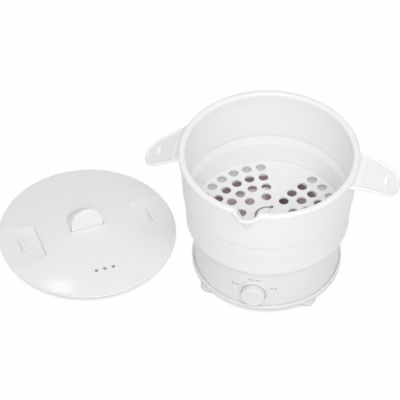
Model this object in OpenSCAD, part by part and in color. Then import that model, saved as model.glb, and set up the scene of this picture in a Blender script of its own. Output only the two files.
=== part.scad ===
// Collapsible travel hot pot: a folding silicone bowl with a pouring lip and two ears on a round
// heating base, with a perforated steamer tray inside and a domed lid lying beside it.
// The origin is on the pot's axis at table height. +Z is up, and the dial and the lip face -Y.

/* [Bowl] */
// How far the lower tier stands out beyond the base's wall
bowl_out = 8.2; // [7.5:0.1:9]
// Radial step between the lower and the upper tier
tier_step = 4.3; // [3.5:0.1:5]
// Widening of the upper tier from the crease to the rim
upper_flare = 1.5; // [1:0.1:2]
// How far the rim bead stands out beyond the upper tier
rim_out = 2; // [1.5:0.1:2.5]
// Height of the rim's top above the table
pot_h = 153; // [148:1:165]
// Radial width of the rim bead
rim_w = 6.6; // [6:0.1:7.5]
// Height of the rim bead
rim_t = 5; // [4:0.1:6]
// Thickness of the silicone wall
silicone_t = 2.5; // [2:0.1:3]
// Depth of the crease between the two tiers below the rim's top
crease_drop = 49; // [44:1:55]
// Gap left at the crease, where the wall is thinnest
crease_gap = 0.2; // [0.1:0.05:0.4]
// Height of the sloping step between the tiers
step_h = 12; // [8:0.5:16]
// Outer rounding of the bowl's lower edge
bowl_round = 8; // [6:0.5:10]
// Turn of the upper tier on the base, in degrees
bowl_turn = -1.9; // [-3:0.1:3]

/* [Pouring lip] */
// Radius of the lip in plan
lip_mouth_r = 15; // [12:0.5:18]
// How far the lip reaches beyond the rim
lip_reach = 9; // [6:0.5:11]
// Depth of the lip's channel below the rim
lip_depth = 35; // [28:1:42]
// Radius of the channel at its lower end
lip_toe_r = 3; // [2.6:0.1:4]
// Radial width of the bead round the lip
lip_bead_w = 4.5; // [3.5:0.1:5]

/* [Ears] */
// Distance of the bending line beyond the rim
ear_out = 5.5; // [5:0.1:6.5]
// Depth to which the ear's root runs into the bowl's wall
ear_root_in = 1.5; // [1:0.1:2]
// Distance of the ear's own start beyond the bending line
ear_start = 1; // [0.8:0.1:1.4]
// Depth of the bending line below the rim's top
ear_pivot_drop = 1.5; // [1:0.1:2]
// Radius to which the ear's root bends
ear_bend_r = 6.3; // [6:0.1:8]
// Length of the ear beyond the bending line
ear_len = 41.5; // [36:0.5:46]
// Droop of the left ear below the horizontal, in degrees
ear_droop_left = 35; // [28:1:40]
// Droop of the right ear below the horizontal, in degrees
ear_droop_right = 20; // [15:1:30]
// Width of the ear where it leaves the bowl
ear_root_w = 53; // [47:0.5:59]
// Corner radius at the ear's tip
ear_tip_r = 19.5; // [17:0.5:21]
// Width of the straight end of the tip
ear_tip_flat = 2; // [1:0.1:4]
// Thickness of the ear at its border
ear_t = 3.8; // [3:0.1:5]
// Width of the raised border
ear_border = 3; // [2:0.1:4]
// Depth of the panel inside the border
ear_panel_d = 0.8; // [0.4:0.1:1.2]
// Gap between the ear and its root
ear_gap = 0.3; // [0.2:0.05:0.5]
// Distance of the hook slot beyond the bending line, along the ear
ear_slot_out = 26; // [23:0.5:29]
// Radial width of the hook slot
ear_slot_w = 5.2; // [5:0.1:6]
// Length of the hook slot
ear_slot_l = 17; // [14:0.5:20]
// Width of the two ridges across the ear
ear_ridge_w = 1.6; // [1:0.1:2]
// Pitch of the two ridges
ear_ridge_pitch = 4.2; // [3:0.1:5]
// Distance of the first groove beyond the bending line
ear_groove_start = 3; // [2:0.1:4]

/* [Base] */
// Outer radius of the housing's wall
base_r = 74; // [66:0.5:83]
// Height of the housing above the bottom cover
base_h = 50; // [47:0.5:56]
// Thickness of the housing's wall
base_wall = 2.5; // [2:0.1:3]
// Thickness of the shoulder that carries the bowl
shoulder_t = 3; // [2.5:0.1:3.5]
// Thickness of the bottom cover
cover_t = 2.5; // [2:0.1:3]
// How far the cover's lip stands out beyond the housing's wall
cover_out = 2.5; // [2.2:0.1:2.8]
// Height of the cover's lip
cover_lip_h = 5; // [4:0.1:6]
// Groove between the lip and the housing's wall
cover_groove = 0.25; // [0.2:0.05:0.5]
// Number of vents in the cover
vent_count = 12; // [8:1:16]
// Length of a vent
vent_l = 16; // [12:1:20]
// Width of a vent
vent_w = 3; // [2:0.1:3.5]
// Distance of a vent's middle from the axis
vent_r = 34; // [30:1:38]
// Direction of the first cover screw, in degrees
cover_screw_dir = 18; // [15:1:22]
// Depth to which a screw boss runs into the housing's wall
boss_sink = 0.5; // [0.4:0.1:0.8]
// Radius of a screw boss
boss_r = 4.5; // [4.2:0.1:4.8]
// Height of a screw boss
boss_h = 8; // [7.5:0.1:8.5]
// Radius of a cover or inlet screw's shank
screw_r = 1.5; // [1.2:0.1:1.6]
// Radius of a screw's head
screw_head_r = 2.8; // [2.6:0.1:3]
// Height of a screw's head
screw_head_h = 1.4; // [1.2:0.1:1.6]

/* [Feet] */
// Height of a foot
foot_h = 4.5; // [4:0.1:6]
// Radius of a foot
foot_r = 9; // [8:0.1:10]
// Distance of a foot's middle inside the cover's edge
foot_in = 6; // [5:0.1:7]
// Radius of the spigot that holds a foot
foot_spigot_r = 3.6; // [3:0.1:4]
// Bevel round a foot's lower edge
foot_bevel = 0.8; // [0.4:0.1:1.2]

/* [Heater] */
// Distance of the pan's wall inside the housing's outer face
pan_in = 14; // [12.5:0.1:15.5]
// Thickness of the pan's sheet
pan_t = 1; // [0.8:0.1:1.2]
// Depth of the pan
pan_depth = 18.5; // [17:0.5:19]
// Outer rounding of the pan's lower edge
pan_round = 8; // [6:0.5:9]
// Gap between the pan's flange and the start of the bowl's curve
flange_gap = 0.4; // [0.3:0.1:0.6]
// Number of studs under the pan's flange
stud_count = 4; // [3:1:6]
// Distance of the studs outside the pan's wall
stud_out = 5.5; // [5:0.1:6]
// Radius of a stud
stud_r = 1.9; // [1.6:0.1:2]
// Length of a stud below the flange
stud_l = 12.5; // [12:0.5:14]
// Thickness of the clamp ring
clamp_t = 2.5; // [2:0.1:3]
// Radial width of the clamp ring
clamp_w = 8; // [7.6:0.1:8.4]
// Height of a clamp nut
nut_h = 3.2; // [2.6:0.1:3.4]
// Distance across the flats of a clamp nut
nut_af = 7; // [6:0.1:7.4]
// Distance of the heat spreader's edge inside the pan's wall
spreader_in = 10; // [9:0.5:12]
// Thickness of the heat spreader
spreader_t = 3; // [2.5:0.1:3.5]
// Distance of the heating element's ring inside the spreader's edge
element_in = 14; // [12.5:0.5:16]
// Diameter of the heating element's tube
element_d = 6.5; // [6:0.1:7]
// Radius of a terminal pin
terminal_r = 1.6; // [1.2:0.1:1.8]
// Straight end of the lead under a terminal pin
terminal_gap = 0.75; // [0.5:0.05:1]
// How far the heat shield reaches beyond the element's ring
shield_out = 6; // [5:0.1:7]
// Thickness of the heat shield
shield_t = 1; // [0.8:0.1:1.2]
// Gap between the element and the heat shield
shield_gap = 0.5; // [0.4:0.1:0.8]
// Distance of the shield's posts from the axis
shield_post_r = 22; // [20:0.5:25]
// Radius of a shield post
post_r = 2; // [1.6:0.1:2.4]
// Gap round a terminal pin in the shield
terminal_clear = 2; // [1.6:0.1:2.4]
// Gap round a lead in the shield
lead_clear = 1; // [0.8:0.1:1.2]
// Width of the thermostat's flange
thermostat_flange = 2; // [1.6:0.1:2.4]
// Radius of the fuse's wires
fuse_wire_r = 0.6; // [0.5:0.05:0.7]
// Radius of the thermostat's body
thermostat_r = 8; // [7.5:0.1:8]
// Height of the thermostat
thermostat_h = 6; // [5:0.1:6.5]
// Radius of the thermal fuse
fuse_r = 2; // [1.8:0.1:2.2]
// Length of the thermal fuse
fuse_l = 12; // [10:0.5:14]

/* [Dial] */
// Gap between the switch and the underside of the pan
switch_gap = 4; // [3:0.1:5]
// Radius of the flat seat on the housing
dial_seat_r = 14.8; // [14:0.1:16]
// How far the seat stands out beyond the housing's wall
dial_seat_out = 1; // [0.8:0.1:1.4]
// Thickness of the dial seat
dial_seat_t = 5.5; // [5:0.1:6]
// Thickness of the collar
collar_t = 1.7; // [1.4:0.1:2]
// Radial width of the collar
collar_w = 2.2; // [1.8:0.1:2.4]
// Gap between the knob and the collar
knob_clear = 0.6; // [0.5:0.1:0.8]
// Rounding of the knob's front edge
knob_edge = 2; // [1.6:0.1:2.4]
// Length of the knob
knob_l = 7.7; // [7:0.1:9]
// Gap between the knob and the dial seat
knob_gap = 0.6; // [0.4:0.1:0.8]
// Wall of the knob's skirt
knob_wall = 2; // [1.6:0.1:2.4]
// Direction of the pointer when off, in degrees left of the top
pointer_dir = 60; // [45:5:90]
// Length of the pointer's groove
pointer_l = 4; // [3:0.5:6]
// Width of the pointer's groove
pointer_w = 1.2; // [0.8:0.1:1.6]
// Depth of the pointer's groove
pointer_d = 0.5; // [0.3:0.1:0.8]
// Distance of the pointer's groove inside the face's edge
pointer_in = 1; // [0.6:0.1:1.4]
// Thickness of the knob's face over the shaft's bore
knob_face_t = 1.8; // [1.6:0.1:2.2]
// Gap between the shaft's tip and the bore's end
shaft_end_gap = 0.4; // [0.3:0.1:0.6]
// Clearance of the shaft in the knob, on the radius
knob_fit = 0.02; // [0.01:0.01:0.03]
// Radius of the shaft
shaft_r = 3; // [2.6:0.1:3.2]
// Depth of the flat on the shaft
shaft_flat = 1.5; // [1:0.1:1.8]
// Clearance of the shaft in its bush, on the radius
shaft_clear = 0.05; // [0.02:0.01:0.08]
// Radius of the switch's threaded bush
bush_r = 4.5; // [4.2:0.1:4.8]
// Height of the switch's nut
switch_nut_h = 1.8; // [1.5:0.1:2]
// Distance across the flats of the switch's nut
switch_nut_af = 12; // [11:0.1:13]
// Width of the switch's body
switch_w = 22; // [20:0.5:24]
// Height of the switch's body
switch_h = 18; // [16:0.5:18]
// Depth of the switch's body
switch_d = 16; // [14:0.5:17]
// Wall behind the shaft in the switch's body
switch_wall = 2; // [1.6:0.1:2.4]
// How far the bush stands out beyond its nut
bush_over = 0.2; // [0.1:0.05:0.3]
// Gap in front of the nut inside the knob
knob_hollow_gap = 0.8; // [0.6:0.1:1]
// Height of the switch's contacts above its underside
contact_up = 3; // [2.5:0.1:3.5]

/* [Power inlet] */
// Gap between the inlet and the underside of the pan
inlet_gap = 5; // [4.5:0.1:6]
// How far the inlet's seat stands out beyond the housing's wall
inlet_seat_out = 0.5; // [0.4:0.1:0.8]
// Depth of the inlet's seat inside the housing's wall
inlet_seat_in = 4.5; // [4:0.1:5]
// Border of the seat round the inlet's flange
inlet_seat_border = 1; // [0.8:0.1:1.2]
// Depth to which an inlet screw enters its seat
inlet_screw_in = 5; // [4.5:0.1:5.5]
// Width of the inlet's body
inlet_w = 27; // [26:0.1:28]
// Height of the inlet's body
inlet_h = 20; // [19:0.1:20.5]
// Depth of the inlet's body behind its flange
inlet_d = 24.5; // [24:0.5:26]
// Width of the inlet's flange
inlet_flange_w = 50; // [48:0.5:51]
// Height of the inlet's flange
inlet_flange_h = 23; // [22:0.1:24]
// Thickness of the inlet's flange
inlet_flange_t = 2.5; // [2:0.1:3]
// Distance between the inlet's screws
inlet_screw_pitch = 40; // [39:0.5:41]
// Wall at the sides of the socket
socket_side = 1.5; // [1.2:0.1:1.8]
// Wall above and below the socket
socket_deck = 1.75; // [1.5:0.05:2]
// Depth of the socket
socket_d = 16; // [15:0.5:17]
// Corner cut at the top of the socket
socket_cut = 4.5; // [4:0.1:5]
// Distance of the live and neutral pins from the middle
pin_x = 7; // [6.8:0.1:7.2]
// Offset of the earth pin above the other two
pin_dz = 4; // [3.6:0.1:4.2]
// Thickness of a pin
pin_t = 2; // [1.8:0.1:2.1]
// Width of a pin
pin_w = 4; // [3.8:0.1:4.2]
// Length of a pin
pin_l = 14; // [12:0.5:14.5]
// Length of a solder tab behind the inlet
tab_l = 6; // [5:0.5:7]
// Radius of a lead
lead_r = 1.1; // [0.9:0.1:1.3]
// Radius of a lead's bends
lead_bend_r = 2; // [1.6:0.1:2.2]
// Drop of the live lead below the live pin
lead_drop = 7; // [6:0.5:8]
// Length of the live lead's first run
lead_start = 4; // [3.6:0.1:4.5]
// Distance at which the live lead rises behind the switch
lead_behind = 8; // [7:0.5:9]

/* [Steamer tray] */
// Gap between the tray and the bowl's wall
tray_gap = 1.2; // [0.8:0.1:1.6]
// Thickness of the tray
tray_t = 2; // [1.6:0.1:2.5]
// Width of the raised edge
tray_edge_w = 1.8; // [1.2:0.1:2.4]
// Height of the raised edge
tray_edge_h = 0.9; // [0.6:0.1:1.4]
// Bevel round the tray's lower edge, clear of the bowl's rounded corner
tray_bevel = 1.7; // [1.5:0.1:1.9]
// Gap between the tray and the pan's flange
tray_seat_gap = 0.2; // [0.1:0.05:0.3]
// Diameter of a steam hole
hole_d = 10; // [8:0.1:10.6]
// Radius of the innermost ring of holes
hole_ring_r = 26.8; // [26:0.1:28]
// Gap between the outermost holes and the raised edge
hole_margin = 2.3; // [1.5:0.1:3]
// Direction of the first solid spoke, in degrees
spoke_dir = 82.3; // [70:0.1:95]
// Radius of the lift tongue
tongue_r = 11; // [9:0.1:12]
// Width of the slot round the tongue
tongue_slot = 1.6; // [1.2:0.1:2]
// Radius of the round ends of the slot
tongue_end_r = 1.5; // [1.2:0.1:1.8]
// Gap at the tongue's fold line
tongue_gap = 0.3; // [0.2:0.05:0.4]

/* [Lid] */
// How far the lid reaches beyond the rim
lid_over = 1.7; // [1:0.1:3]
// Thickness of the lid
lid_t = 2; // [1.6:0.1:2.4]
// Rise of the lid's dome
lid_rise = 7.5; // [6:0.1:9]
// Height of the locating skirt
skirt_h = 6; // [5.5:0.1:8]
// Thickness of the locating skirt
skirt_t = 2; // [1.6:0.1:2.4]
// Gap between the skirt and the rim bead when the lid is on
skirt_gap = 1.2; // [0.8:0.1:1.6]
// Gap between the lying lid and the base
lid_gap = 18.8; // [17:0.1:40]
// Distance of the lying lid towards the front
lid_front = 6.2; // [0:0.1:12]
// Turn of the lying lid, in degrees
lid_turn = 30.5; // [20:0.5:35]
// Width of an ear recess at its inner wall
recess_w = 43; // [40:0.5:45]
// Widening of an ear recess on each side, in degrees
recess_flare = 12; // [8:0.5:14]
// Distance of a recess's inner wall from the lid's edge
recess_l = 40.9; // [38:0.1:46]
// Thickness of the recess's walls
recess_wall = 2; // [1.6:0.1:2.2]
// Distance of a hook from the lid's edge
hook_in = 21.7; // [20:0.1:25]
// Width of a hook
hook_w = 15; // [13:0.5:16]
// Thickness of a hook
hook_t = 3; // [2.6:0.1:4.5]
// Height of a hook
hook_h = 5.5; // [4.5:0.1:6.5]
// Reach of a hook's nose
hook_nose = 1.6; // [1.2:0.1:2]
// Height of a hook's nose
hook_nose_h = 1.8; // [1.5:0.1:2.2]
// Diameter of a steam vent in the lid
steam_d = 3.8; // [3:0.1:4.5]
// Pitch of the steam vents
steam_pitch = 9; // [8:0.5:10]
// Distance of the steam vents from the lid's edge
steam_in = 32.4; // [30:0.1:38]

/* [Lid tab] */
// Width of the tab
tab_w = 34; // [30:0.5:38]
// Height of the upright tab above the lid
tab_h = 24; // [22:0.5:28]
// Thickness of the tab
tab_t = 4.5; // [4:0.1:5]
// Distance of the tab behind the lid's middle
tab_back = 0.5; // [0:0.1:3]
// Gap round the folded tab
tab_gap = 0.6; // [0.4:0.1:0.8]
// Depth of the folded tab's face below the dome's top
tab_sink = 0.15; // [0.1:0.05:0.3]
// Wall of the tab's recess
tab_recess_wall = 1.8; // [1.5:0.1:2.2]
// Radius of the tab's pin
tab_pin_r = 1.2; // [1:0.05:1.4]
// Clearance of the tab on its pin, on the radius
tab_pin_clear = 0.05; // [0.02:0.01:0.08]
// Depth to which the pin enters the recess's walls
tab_pin_in = 1.4; // [1:0.1:1.6]

/* [Hidden] */
$fn = 96;
eps = 0.01;
screw_clear = 0.2;
hole_clear = 0.3;

// Levels of the stack, from the table up
cover_top = foot_h + cover_t;
base_top = cover_top + base_h;
pan_flange_z = base_top + silicone_t;
pan_top = pan_flange_z + pan_t;
pan_floor_z = pan_top - pan_depth;
pan_low = pan_floor_z - pan_t;
spreader_z = pan_low - spreader_t;
element_z = spreader_z - element_d / 2;
shield_z = element_z - element_d / 2 - shield_gap - shield_t;
tray_z = pan_top + tray_seat_gap + tray_t;
crease_z = pot_h - crease_drop;
rim_z = pot_h - rim_t;

// Radii that one piece takes from another, from the base outwards
lower_r = base_r + bowl_out;
upper_r = lower_r + tier_step;
upper_top_r = upper_r + upper_flare;
rim_r = upper_top_r + rim_out;
cover_r = base_r + cover_out;
cover_screw_r = base_r - base_wall - boss_r + boss_sink;
foot_place_r = cover_r - foot_in;
pan_r = base_r - pan_in;
stud_place_r = pan_r + stud_out;
spreader_r = pan_r - spreader_in;
element_ring_r = spreader_r - element_in;
shield_r = element_ring_r + shield_out;
ear_pivot_r = rim_r + ear_out;
round_r = lower_r - bowl_round;
flange_r = round_r - flange_gap;
tray_r = lower_r - silicone_t - tray_gap;
lid_r = rim_r + lid_over;
skirt_r = rim_r - rim_w - skirt_gap;
lid_away = lid_r + cover_r + lid_gap;
recess_r = lid_r - recess_l;
hook_r = lid_r - hook_in;
steam_r = lid_r - steam_in;
collar_r = dial_seat_r;
knob_r = collar_r - collar_w - knob_clear;
knob_face_r = knob_r - knob_edge;

// The dial's planes, from the housing's seat outwards
dial_z = pan_low - switch_gap - switch_h / 2;
seat_y = base_r + dial_seat_out;
switch_y = seat_y - dial_seat_t;
knob_face_y = seat_y + knob_gap + knob_l;
bush_out = switch_nut_h + bush_over;

// The inlet's planes and its socket
inlet_z = pan_low - inlet_gap - inlet_h / 2;
socket_w = inlet_w - 2 * socket_side;
socket_h = inlet_h - 2 * socket_deck;
inlet_y = base_r + inlet_seat_out;
inlet_back_y = inlet_y - inlet_d;
socket_y = inlet_y + inlet_flange_t - socket_d;
pin_z = inlet_z - pin_dz / 2;
tab_end_y = inlet_back_y - tab_l;

// The tray's rings of holes: holes in a sector, and the angle between two of them
sector_holes = [3, 5, 6, 7];
sector_step = [39.8, 20.2, 15.1, 12.2];
sectors = 3;
hole_rings = len(sector_holes);
hole_ring_last = tray_r - tray_edge_w - hole_margin - hole_d / 2;
hole_ring_pitch = (hole_ring_last - hole_ring_r) / (hole_rings - 1);

// The lid's dome is a cap of a large sphere
dome_r = (lid_r * lid_r + lid_rise * lid_rise) / (2 * lid_rise);
lid_edge_z = skirt_h + lid_t;
lid_apex = lid_edge_z + lid_rise;
tab_pivot_z = lid_apex - tab_t / 2 - tab_sink;
tab_reach = tab_h + lid_apex - tab_pivot_z;

// Inner wiring: each lead lies in one upright plane, and a route gives its corners as [y, z]
switch_tail_y = -(switch_y - switch_d);
switch_tab_z = dial_z - switch_h / 2 + contact_up;
terminal_x = pin_x;
terminal_y = sqrt(element_ring_r * element_ring_r - terminal_x * terminal_x);
terminal_z = pin_z + lead_bend_r + terminal_gap;
lead_low_z = pin_z - lead_drop;
thermostat_tab_x = thermostat_r / 2;
live_route = [
    [tab_end_y, pin_z], [tab_end_y - lead_start, pin_z], [tab_end_y - lead_start, lead_low_z],
    [switch_tail_y + lead_behind, lead_low_z], [switch_tail_y + lead_behind, switch_tab_z],
    [switch_tail_y, switch_tab_z]
];
load_route = [[switch_tail_y, switch_tab_z], [0, switch_tab_z], [0, spreader_z - thermostat_h]];
neutral_route = [[tab_end_y, pin_z], [terminal_y, pin_z], [terminal_y, terminal_z]];
earth_route = [[tab_end_y, pin_z + pin_dz], [terminal_y, pin_z + pin_dz], [terminal_y, spreader_z]];

white_plastic = [0.93, 0.93, 0.93];
white_gloss = [0.96, 0.96, 0.96];
white_silicone = [0.94, 0.94, 0.95];
grey_rubber = [0.8, 0.8, 0.8];
steel = [0.66, 0.65, 0.65];
aluminium = [0.75, 0.75, 0.76];
brass = [0.8, 0.65, 0.3];
black_plastic = [0.12, 0.12, 0.12];

// A cylinder along Y, from y0 to y1, at height z
module along_y(r, y0, y1, z = 0, x = 0) {
    translate([x, y0, z]) rotate([-90, 0, 0]) cylinder(r = r, h = y1 - y0);
}

// A flat-topped ring
module ring(r_in, r_out, z0, z1) {
    translate([0, 0, z0]) difference() {
        cylinder(r = r_out, h = z1 - z0);
        translate([0, 0, -eps]) cylinder(r = r_in, h = z1 - z0 + 2 * eps);
    }
}

// A quarter of a flat ring, in the fourth quadrant, for rounded lower edges
module quarter_ring(r_out, r_in) {
    intersection() {
        difference() {
            circle(r = r_out);
            circle(r = r_in);
        }
        translate([0, -r_out]) square([r_out, r_out]);
    }
}

// The cross-section of a bead with round sides, whose outer top corner is at the origin
module bead(w, h) {
    end_r = h / 2;
    translate([-w + end_r, -h]) square([w - h, h]);
    translate([-end_r, -end_r]) circle(r = end_r);
    translate([-w + end_r, -end_r]) circle(r = end_r);
}

// Copies of a child set evenly on a circle
module on_circle(count, r, first = 0) {
    for (i = [0 : count - 1])
        rotate(first + i * 360 / count) translate([r, 0, 0]) children();
}

// A length rounded to a 1024th of a millimetre, so that runs and bends meet on exactly the same plane
function exact(v) = round(v * 1024) / 1024;

// A round lead in the upright plane at x, with a quarter bend at each corner of its route
module lead(x, corners) {
    last = len(corners) - 1;
    bend_r = exact(lead_bend_r);
    route = [for (corner = corners) [exact(corner.x), exact(corner.y)]];
    translate([x, 0, 0]) rotate([90, 0, 90]) for (i = [0 : last - 1]) {
        run = route[i + 1] - route[i];
        dir = run / norm(run);
        from = route[i] + dir * (i > 0 ? bend_r : 0);
        to = route[i + 1] - dir * (i < last - 1 ? bend_r : 0);
        translate([from.x, from.y, 0]) rotate(atan2(dir.y, dir.x)) rotate([0, 90, 0])
            cylinder(r = lead_r, h = norm(to - from), $fn = 24);
        if (i < last - 1) {
            next = route[i + 2] - route[i + 1];
            out = next / norm(next);
            middle = route[i + 1] + (out - dir) * bend_r;
            left_turn = dir.x * out.y - dir.y * out.x > 0;
            first = left_turn ? -out : dir;
            translate([middle.x, middle.y, 0]) rotate(atan2(first.y, first.x))
                rotate_extrude(angle = 90, $fn = 48) translate([bend_r, 0]) circle(r = lead_r, $fn = 24);
        }
    }
}

// Base

module base_housing() {
    seat_w = inlet_flange_w + 2 * inlet_seat_border;
    seat_h = inlet_flange_h + 2 * inlet_seat_border;
    seat_back_y = base_r - base_wall - inlet_seat_in;
    color(white_plastic) difference() {
        union() {
            ring(base_r - base_wall, base_r, cover_top, base_top);
            ring(pan_r + hole_clear, base_r - base_wall + eps, base_top - shoulder_t, base_top);
            along_y(dial_seat_r, -seat_y, -switch_y, dial_z);
            translate([-seat_w / 2, seat_back_y, inlet_z - seat_h / 2]) cube([seat_w, inlet_y - seat_back_y, seat_h]);
            on_circle(4, cover_screw_r, cover_screw_dir)
                translate([0, 0, cover_top]) cylinder(r = boss_r, h = boss_h);
        }
        along_y(bush_r + screw_clear, -seat_y - 1, -switch_y + 1, dial_z);
        translate([-inlet_w / 2 - screw_clear, 0, inlet_z - inlet_h / 2 - screw_clear])
            cube([inlet_w + 2 * screw_clear, inlet_y + 1, inlet_h + 2 * screw_clear]);
        for (side = [-1, 1])
            along_y(screw_r + screw_clear, seat_back_y - 1, inlet_y + 1, inlet_z, side * inlet_screw_pitch / 2);
        on_circle(stud_count, stud_place_r, 45)
            translate([0, 0, base_top - shoulder_t - 1])
                cylinder(r = stud_r + hole_clear, h = shoulder_t + 2);
        on_circle(4, cover_screw_r, cover_screw_dir)
            translate([0, 0, cover_top - 1]) cylinder(r = screw_r + screw_clear, h = boss_h);
    }
}

module bottom_cover() {
    lip_w = cover_r - base_r - cover_groove;
    color(white_plastic) difference() {
        union() {
            translate([0, 0, foot_h]) cylinder(r = cover_r - lip_w / 2, h = cover_t);
            rotate_extrude() {
                translate([cover_r - lip_w, foot_h + lip_w / 2]) square([lip_w, cover_lip_h - lip_w]);
                translate([cover_r - lip_w / 2, foot_h + cover_lip_h - lip_w / 2]) circle(r = lip_w / 2);
                translate([cover_r - lip_w / 2, foot_h + lip_w / 2]) circle(r = lip_w / 2);
            }
        }
        on_circle(vent_count, vent_r, 180 / vent_count)
            translate([-vent_l / 2, -vent_w / 2, foot_h - 1]) cube([vent_l, vent_w, cover_t + 2]);
        on_circle(4, cover_screw_r, cover_screw_dir) {
            translate([0, 0, foot_h - 1]) cylinder(r = screw_r + screw_clear, h = cover_t + 2);
            translate([0, 0, foot_h - 1]) cylinder(r = screw_head_r + hole_clear, h = screw_head_h + 1);
        }
        on_circle(4, foot_place_r, 45)
            translate([0, 0, foot_h - 1]) cylinder(r = foot_spigot_r + shaft_clear, h = cover_t + 2);
    }
}

// One rubber foot, in the direction given
module foot(direction) {
    color(grey_rubber) rotate(direction) translate([foot_place_r, 0, 0]) {
        cylinder(r1 = foot_r - foot_bevel, r2 = foot_r, h = foot_bevel);
        translate([0, 0, foot_bevel]) cylinder(r = foot_r, h = foot_h - foot_bevel);
        cylinder(r = foot_spigot_r, h = cover_top - 0.4);
    }
}

// A screw that points up, with its head's lower face at the origin
module screw(length) {
    cylinder(r = screw_head_r, h = screw_head_h);
    cylinder(r = screw_r, h = length);
}

module cover_screws() {
    color(steel) on_circle(4, cover_screw_r, cover_screw_dir) translate([0, 0, foot_h]) screw(cover_t + boss_h - 2);
}

// Heater

module heating_pan() {
    color(steel) {
        rotate_extrude() {
            translate([0, pan_low]) square([pan_r - pan_round, pan_t]);
            translate([pan_r - pan_round, pan_low + pan_round]) quarter_ring(pan_round, pan_round - pan_t);
            translate([pan_r - pan_t, pan_low + pan_round])
                square([pan_t, pan_top - pan_low - pan_round]);
            translate([pan_r - pan_t, pan_flange_z]) square([flange_r - pan_r + pan_t, pan_t]);
        }
        on_circle(stud_count, stud_place_r, 45)
            translate([0, 0, pan_flange_z - stud_l]) cylinder(r = stud_r, h = stud_l + pan_t / 2);
    }
}

module clamp_ring() {
    clamp_top = base_top - shoulder_t;
    color(steel) difference() {
        ring(pan_r + hole_clear, pan_r + hole_clear + clamp_w, clamp_top - clamp_t, clamp_top);
        on_circle(stud_count, stud_place_r, 45)
            translate([0, 0, clamp_top - clamp_t - 1]) cylinder(r = stud_r + hole_clear, h = clamp_t + 2);
    }
}

module clamp_nuts() {
    color(steel) on_circle(stud_count, stud_place_r, 45)
        translate([0, 0, base_top - shoulder_t - clamp_t - nut_h]) difference() {
            cylinder(d = nut_af / cos(30), h = nut_h, $fn = 6);
            translate([0, 0, -1]) cylinder(r = stud_r + shaft_clear, h = nut_h + 2);
        }
}

module spreader_plate() {
    color(aluminium) translate([0, 0, spreader_z]) cylinder(r = spreader_r, h = spreader_t);
}

module heating_element() {
    half_gap = asin(terminal_x / element_ring_r);
    color(steel) {
        rotate(90 + half_gap)
            rotate_extrude(angle = 360 - 2 * half_gap)
                translate([element_ring_r, element_z]) circle(d = element_d);
        for (side = [-1, 1])
            translate([side * terminal_x, terminal_y, terminal_z])
                cylinder(r = terminal_r, h = element_z - terminal_z);
    }
}

module heat_shield() {
    color(aluminium) difference() {
        union() {
            translate([0, 0, shield_z]) cylinder(r = shield_r, h = shield_t);
            on_circle(3, shield_post_r, 30)
                translate([0, 0, shield_z]) cylinder(r = post_r, h = spreader_z - shield_z);
        }
        for (side = [-1, 1])
            translate([side * terminal_x, terminal_y, shield_z - 1])
                cylinder(r = terminal_r + terminal_clear, h = shield_t + 2);
        for (place = [[-thermostat_tab_x, 0], [0, terminal_y]])
            translate([place.x, place.y, shield_z - 1]) cylinder(r = lead_r + lead_clear, h = shield_t + 2);
    }
}

module thermostat() {
    color(black_plastic) translate([0, 0, spreader_z - thermostat_h]) {
        cylinder(r = thermostat_r, h = thermostat_h);
        translate([0, 0, thermostat_h - shield_t]) cylinder(r = thermostat_r + thermostat_flange, h = shield_t);
    }
}

module thermal_fuse() {
    fuse_z = spreader_z - fuse_r;
    first_y = sqrt(thermostat_r * thermostat_r - terminal_x * terminal_x) + hole_clear;
    last_y = terminal_y - terminal_r - element_d / 2;
    middle_y = (first_y + last_y) / 2;
    color(aluminium) {
        along_y(fuse_r, middle_y - fuse_l / 2, middle_y + fuse_l / 2, fuse_z, terminal_x);
        along_y(fuse_wire_r, first_y, last_y, fuse_z, terminal_x);
    }
}

// Switch and dial

module shaft_section(r) {
    difference() {
        circle(r = r);
        translate([-r, r - shaft_flat]) square([2 * r, r]);
    }
}

module switch_body() {
    color(black_plastic) difference() {
        union() {
            translate([-switch_w / 2, -switch_y, dial_z - switch_h / 2])
                cube([switch_w, switch_d, switch_h]);
            along_y(bush_r, -seat_y - bush_out, -switch_y + eps, dial_z);
        }
        along_y(shaft_r + shaft_clear, -seat_y - bush_out - 1, -switch_y + switch_d - switch_wall, dial_z);
    }
}

module switch_nut() {
    color(steel) translate([0, -seat_y, dial_z]) rotate([90, 0, 0]) difference() {
        cylinder(d = switch_nut_af / cos(30), h = switch_nut_h, $fn = 6);
        translate([0, 0, -1]) cylinder(r = bush_r + shaft_clear, h = switch_nut_h + 2);
    }
}

module switch_shaft() {
    tail_y = -switch_y + switch_d - switch_wall - hole_clear;
    round_end_y = -seat_y - bush_out - shaft_end_gap;
    tip_y = -knob_face_y + knob_face_t + shaft_end_gap;
    color(steel) {
        along_y(shaft_r, round_end_y, tail_y, dial_z);
        translate([0, round_end_y + eps, dial_z]) rotate([90, 0, 0])
            linear_extrude(round_end_y - tip_y + eps) shaft_section(shaft_r);
    }
}

module dial_collar() {
    color(white_plastic) translate([0, -seat_y, dial_z]) rotate([90, 0, 0])
        ring(collar_r - collar_w, collar_r, 0, collar_t);
}

module knob() {
    hollow = bush_out + knob_hollow_gap;
    color(white_plastic) translate([0, -seat_y - knob_gap, dial_z]) rotate([90, 0, 0]) difference() {
        rotate_extrude() {
            square([knob_r, knob_l - knob_edge]);
            square([knob_face_r, knob_l]);
            translate([knob_face_r, knob_l - knob_edge]) circle(r = knob_edge);
        }
        translate([0, 0, -1]) cylinder(r = knob_r - knob_wall, h = hollow + 1);
        linear_extrude(knob_l - knob_face_t) shaft_section(shaft_r + knob_fit);
        rotate(pointer_dir) translate([-pointer_w / 2, knob_face_r - pointer_in - pointer_l, knob_l - pointer_d])
            cube([pointer_w, pointer_l, 1]);
    }
}

// Power inlet

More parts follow.
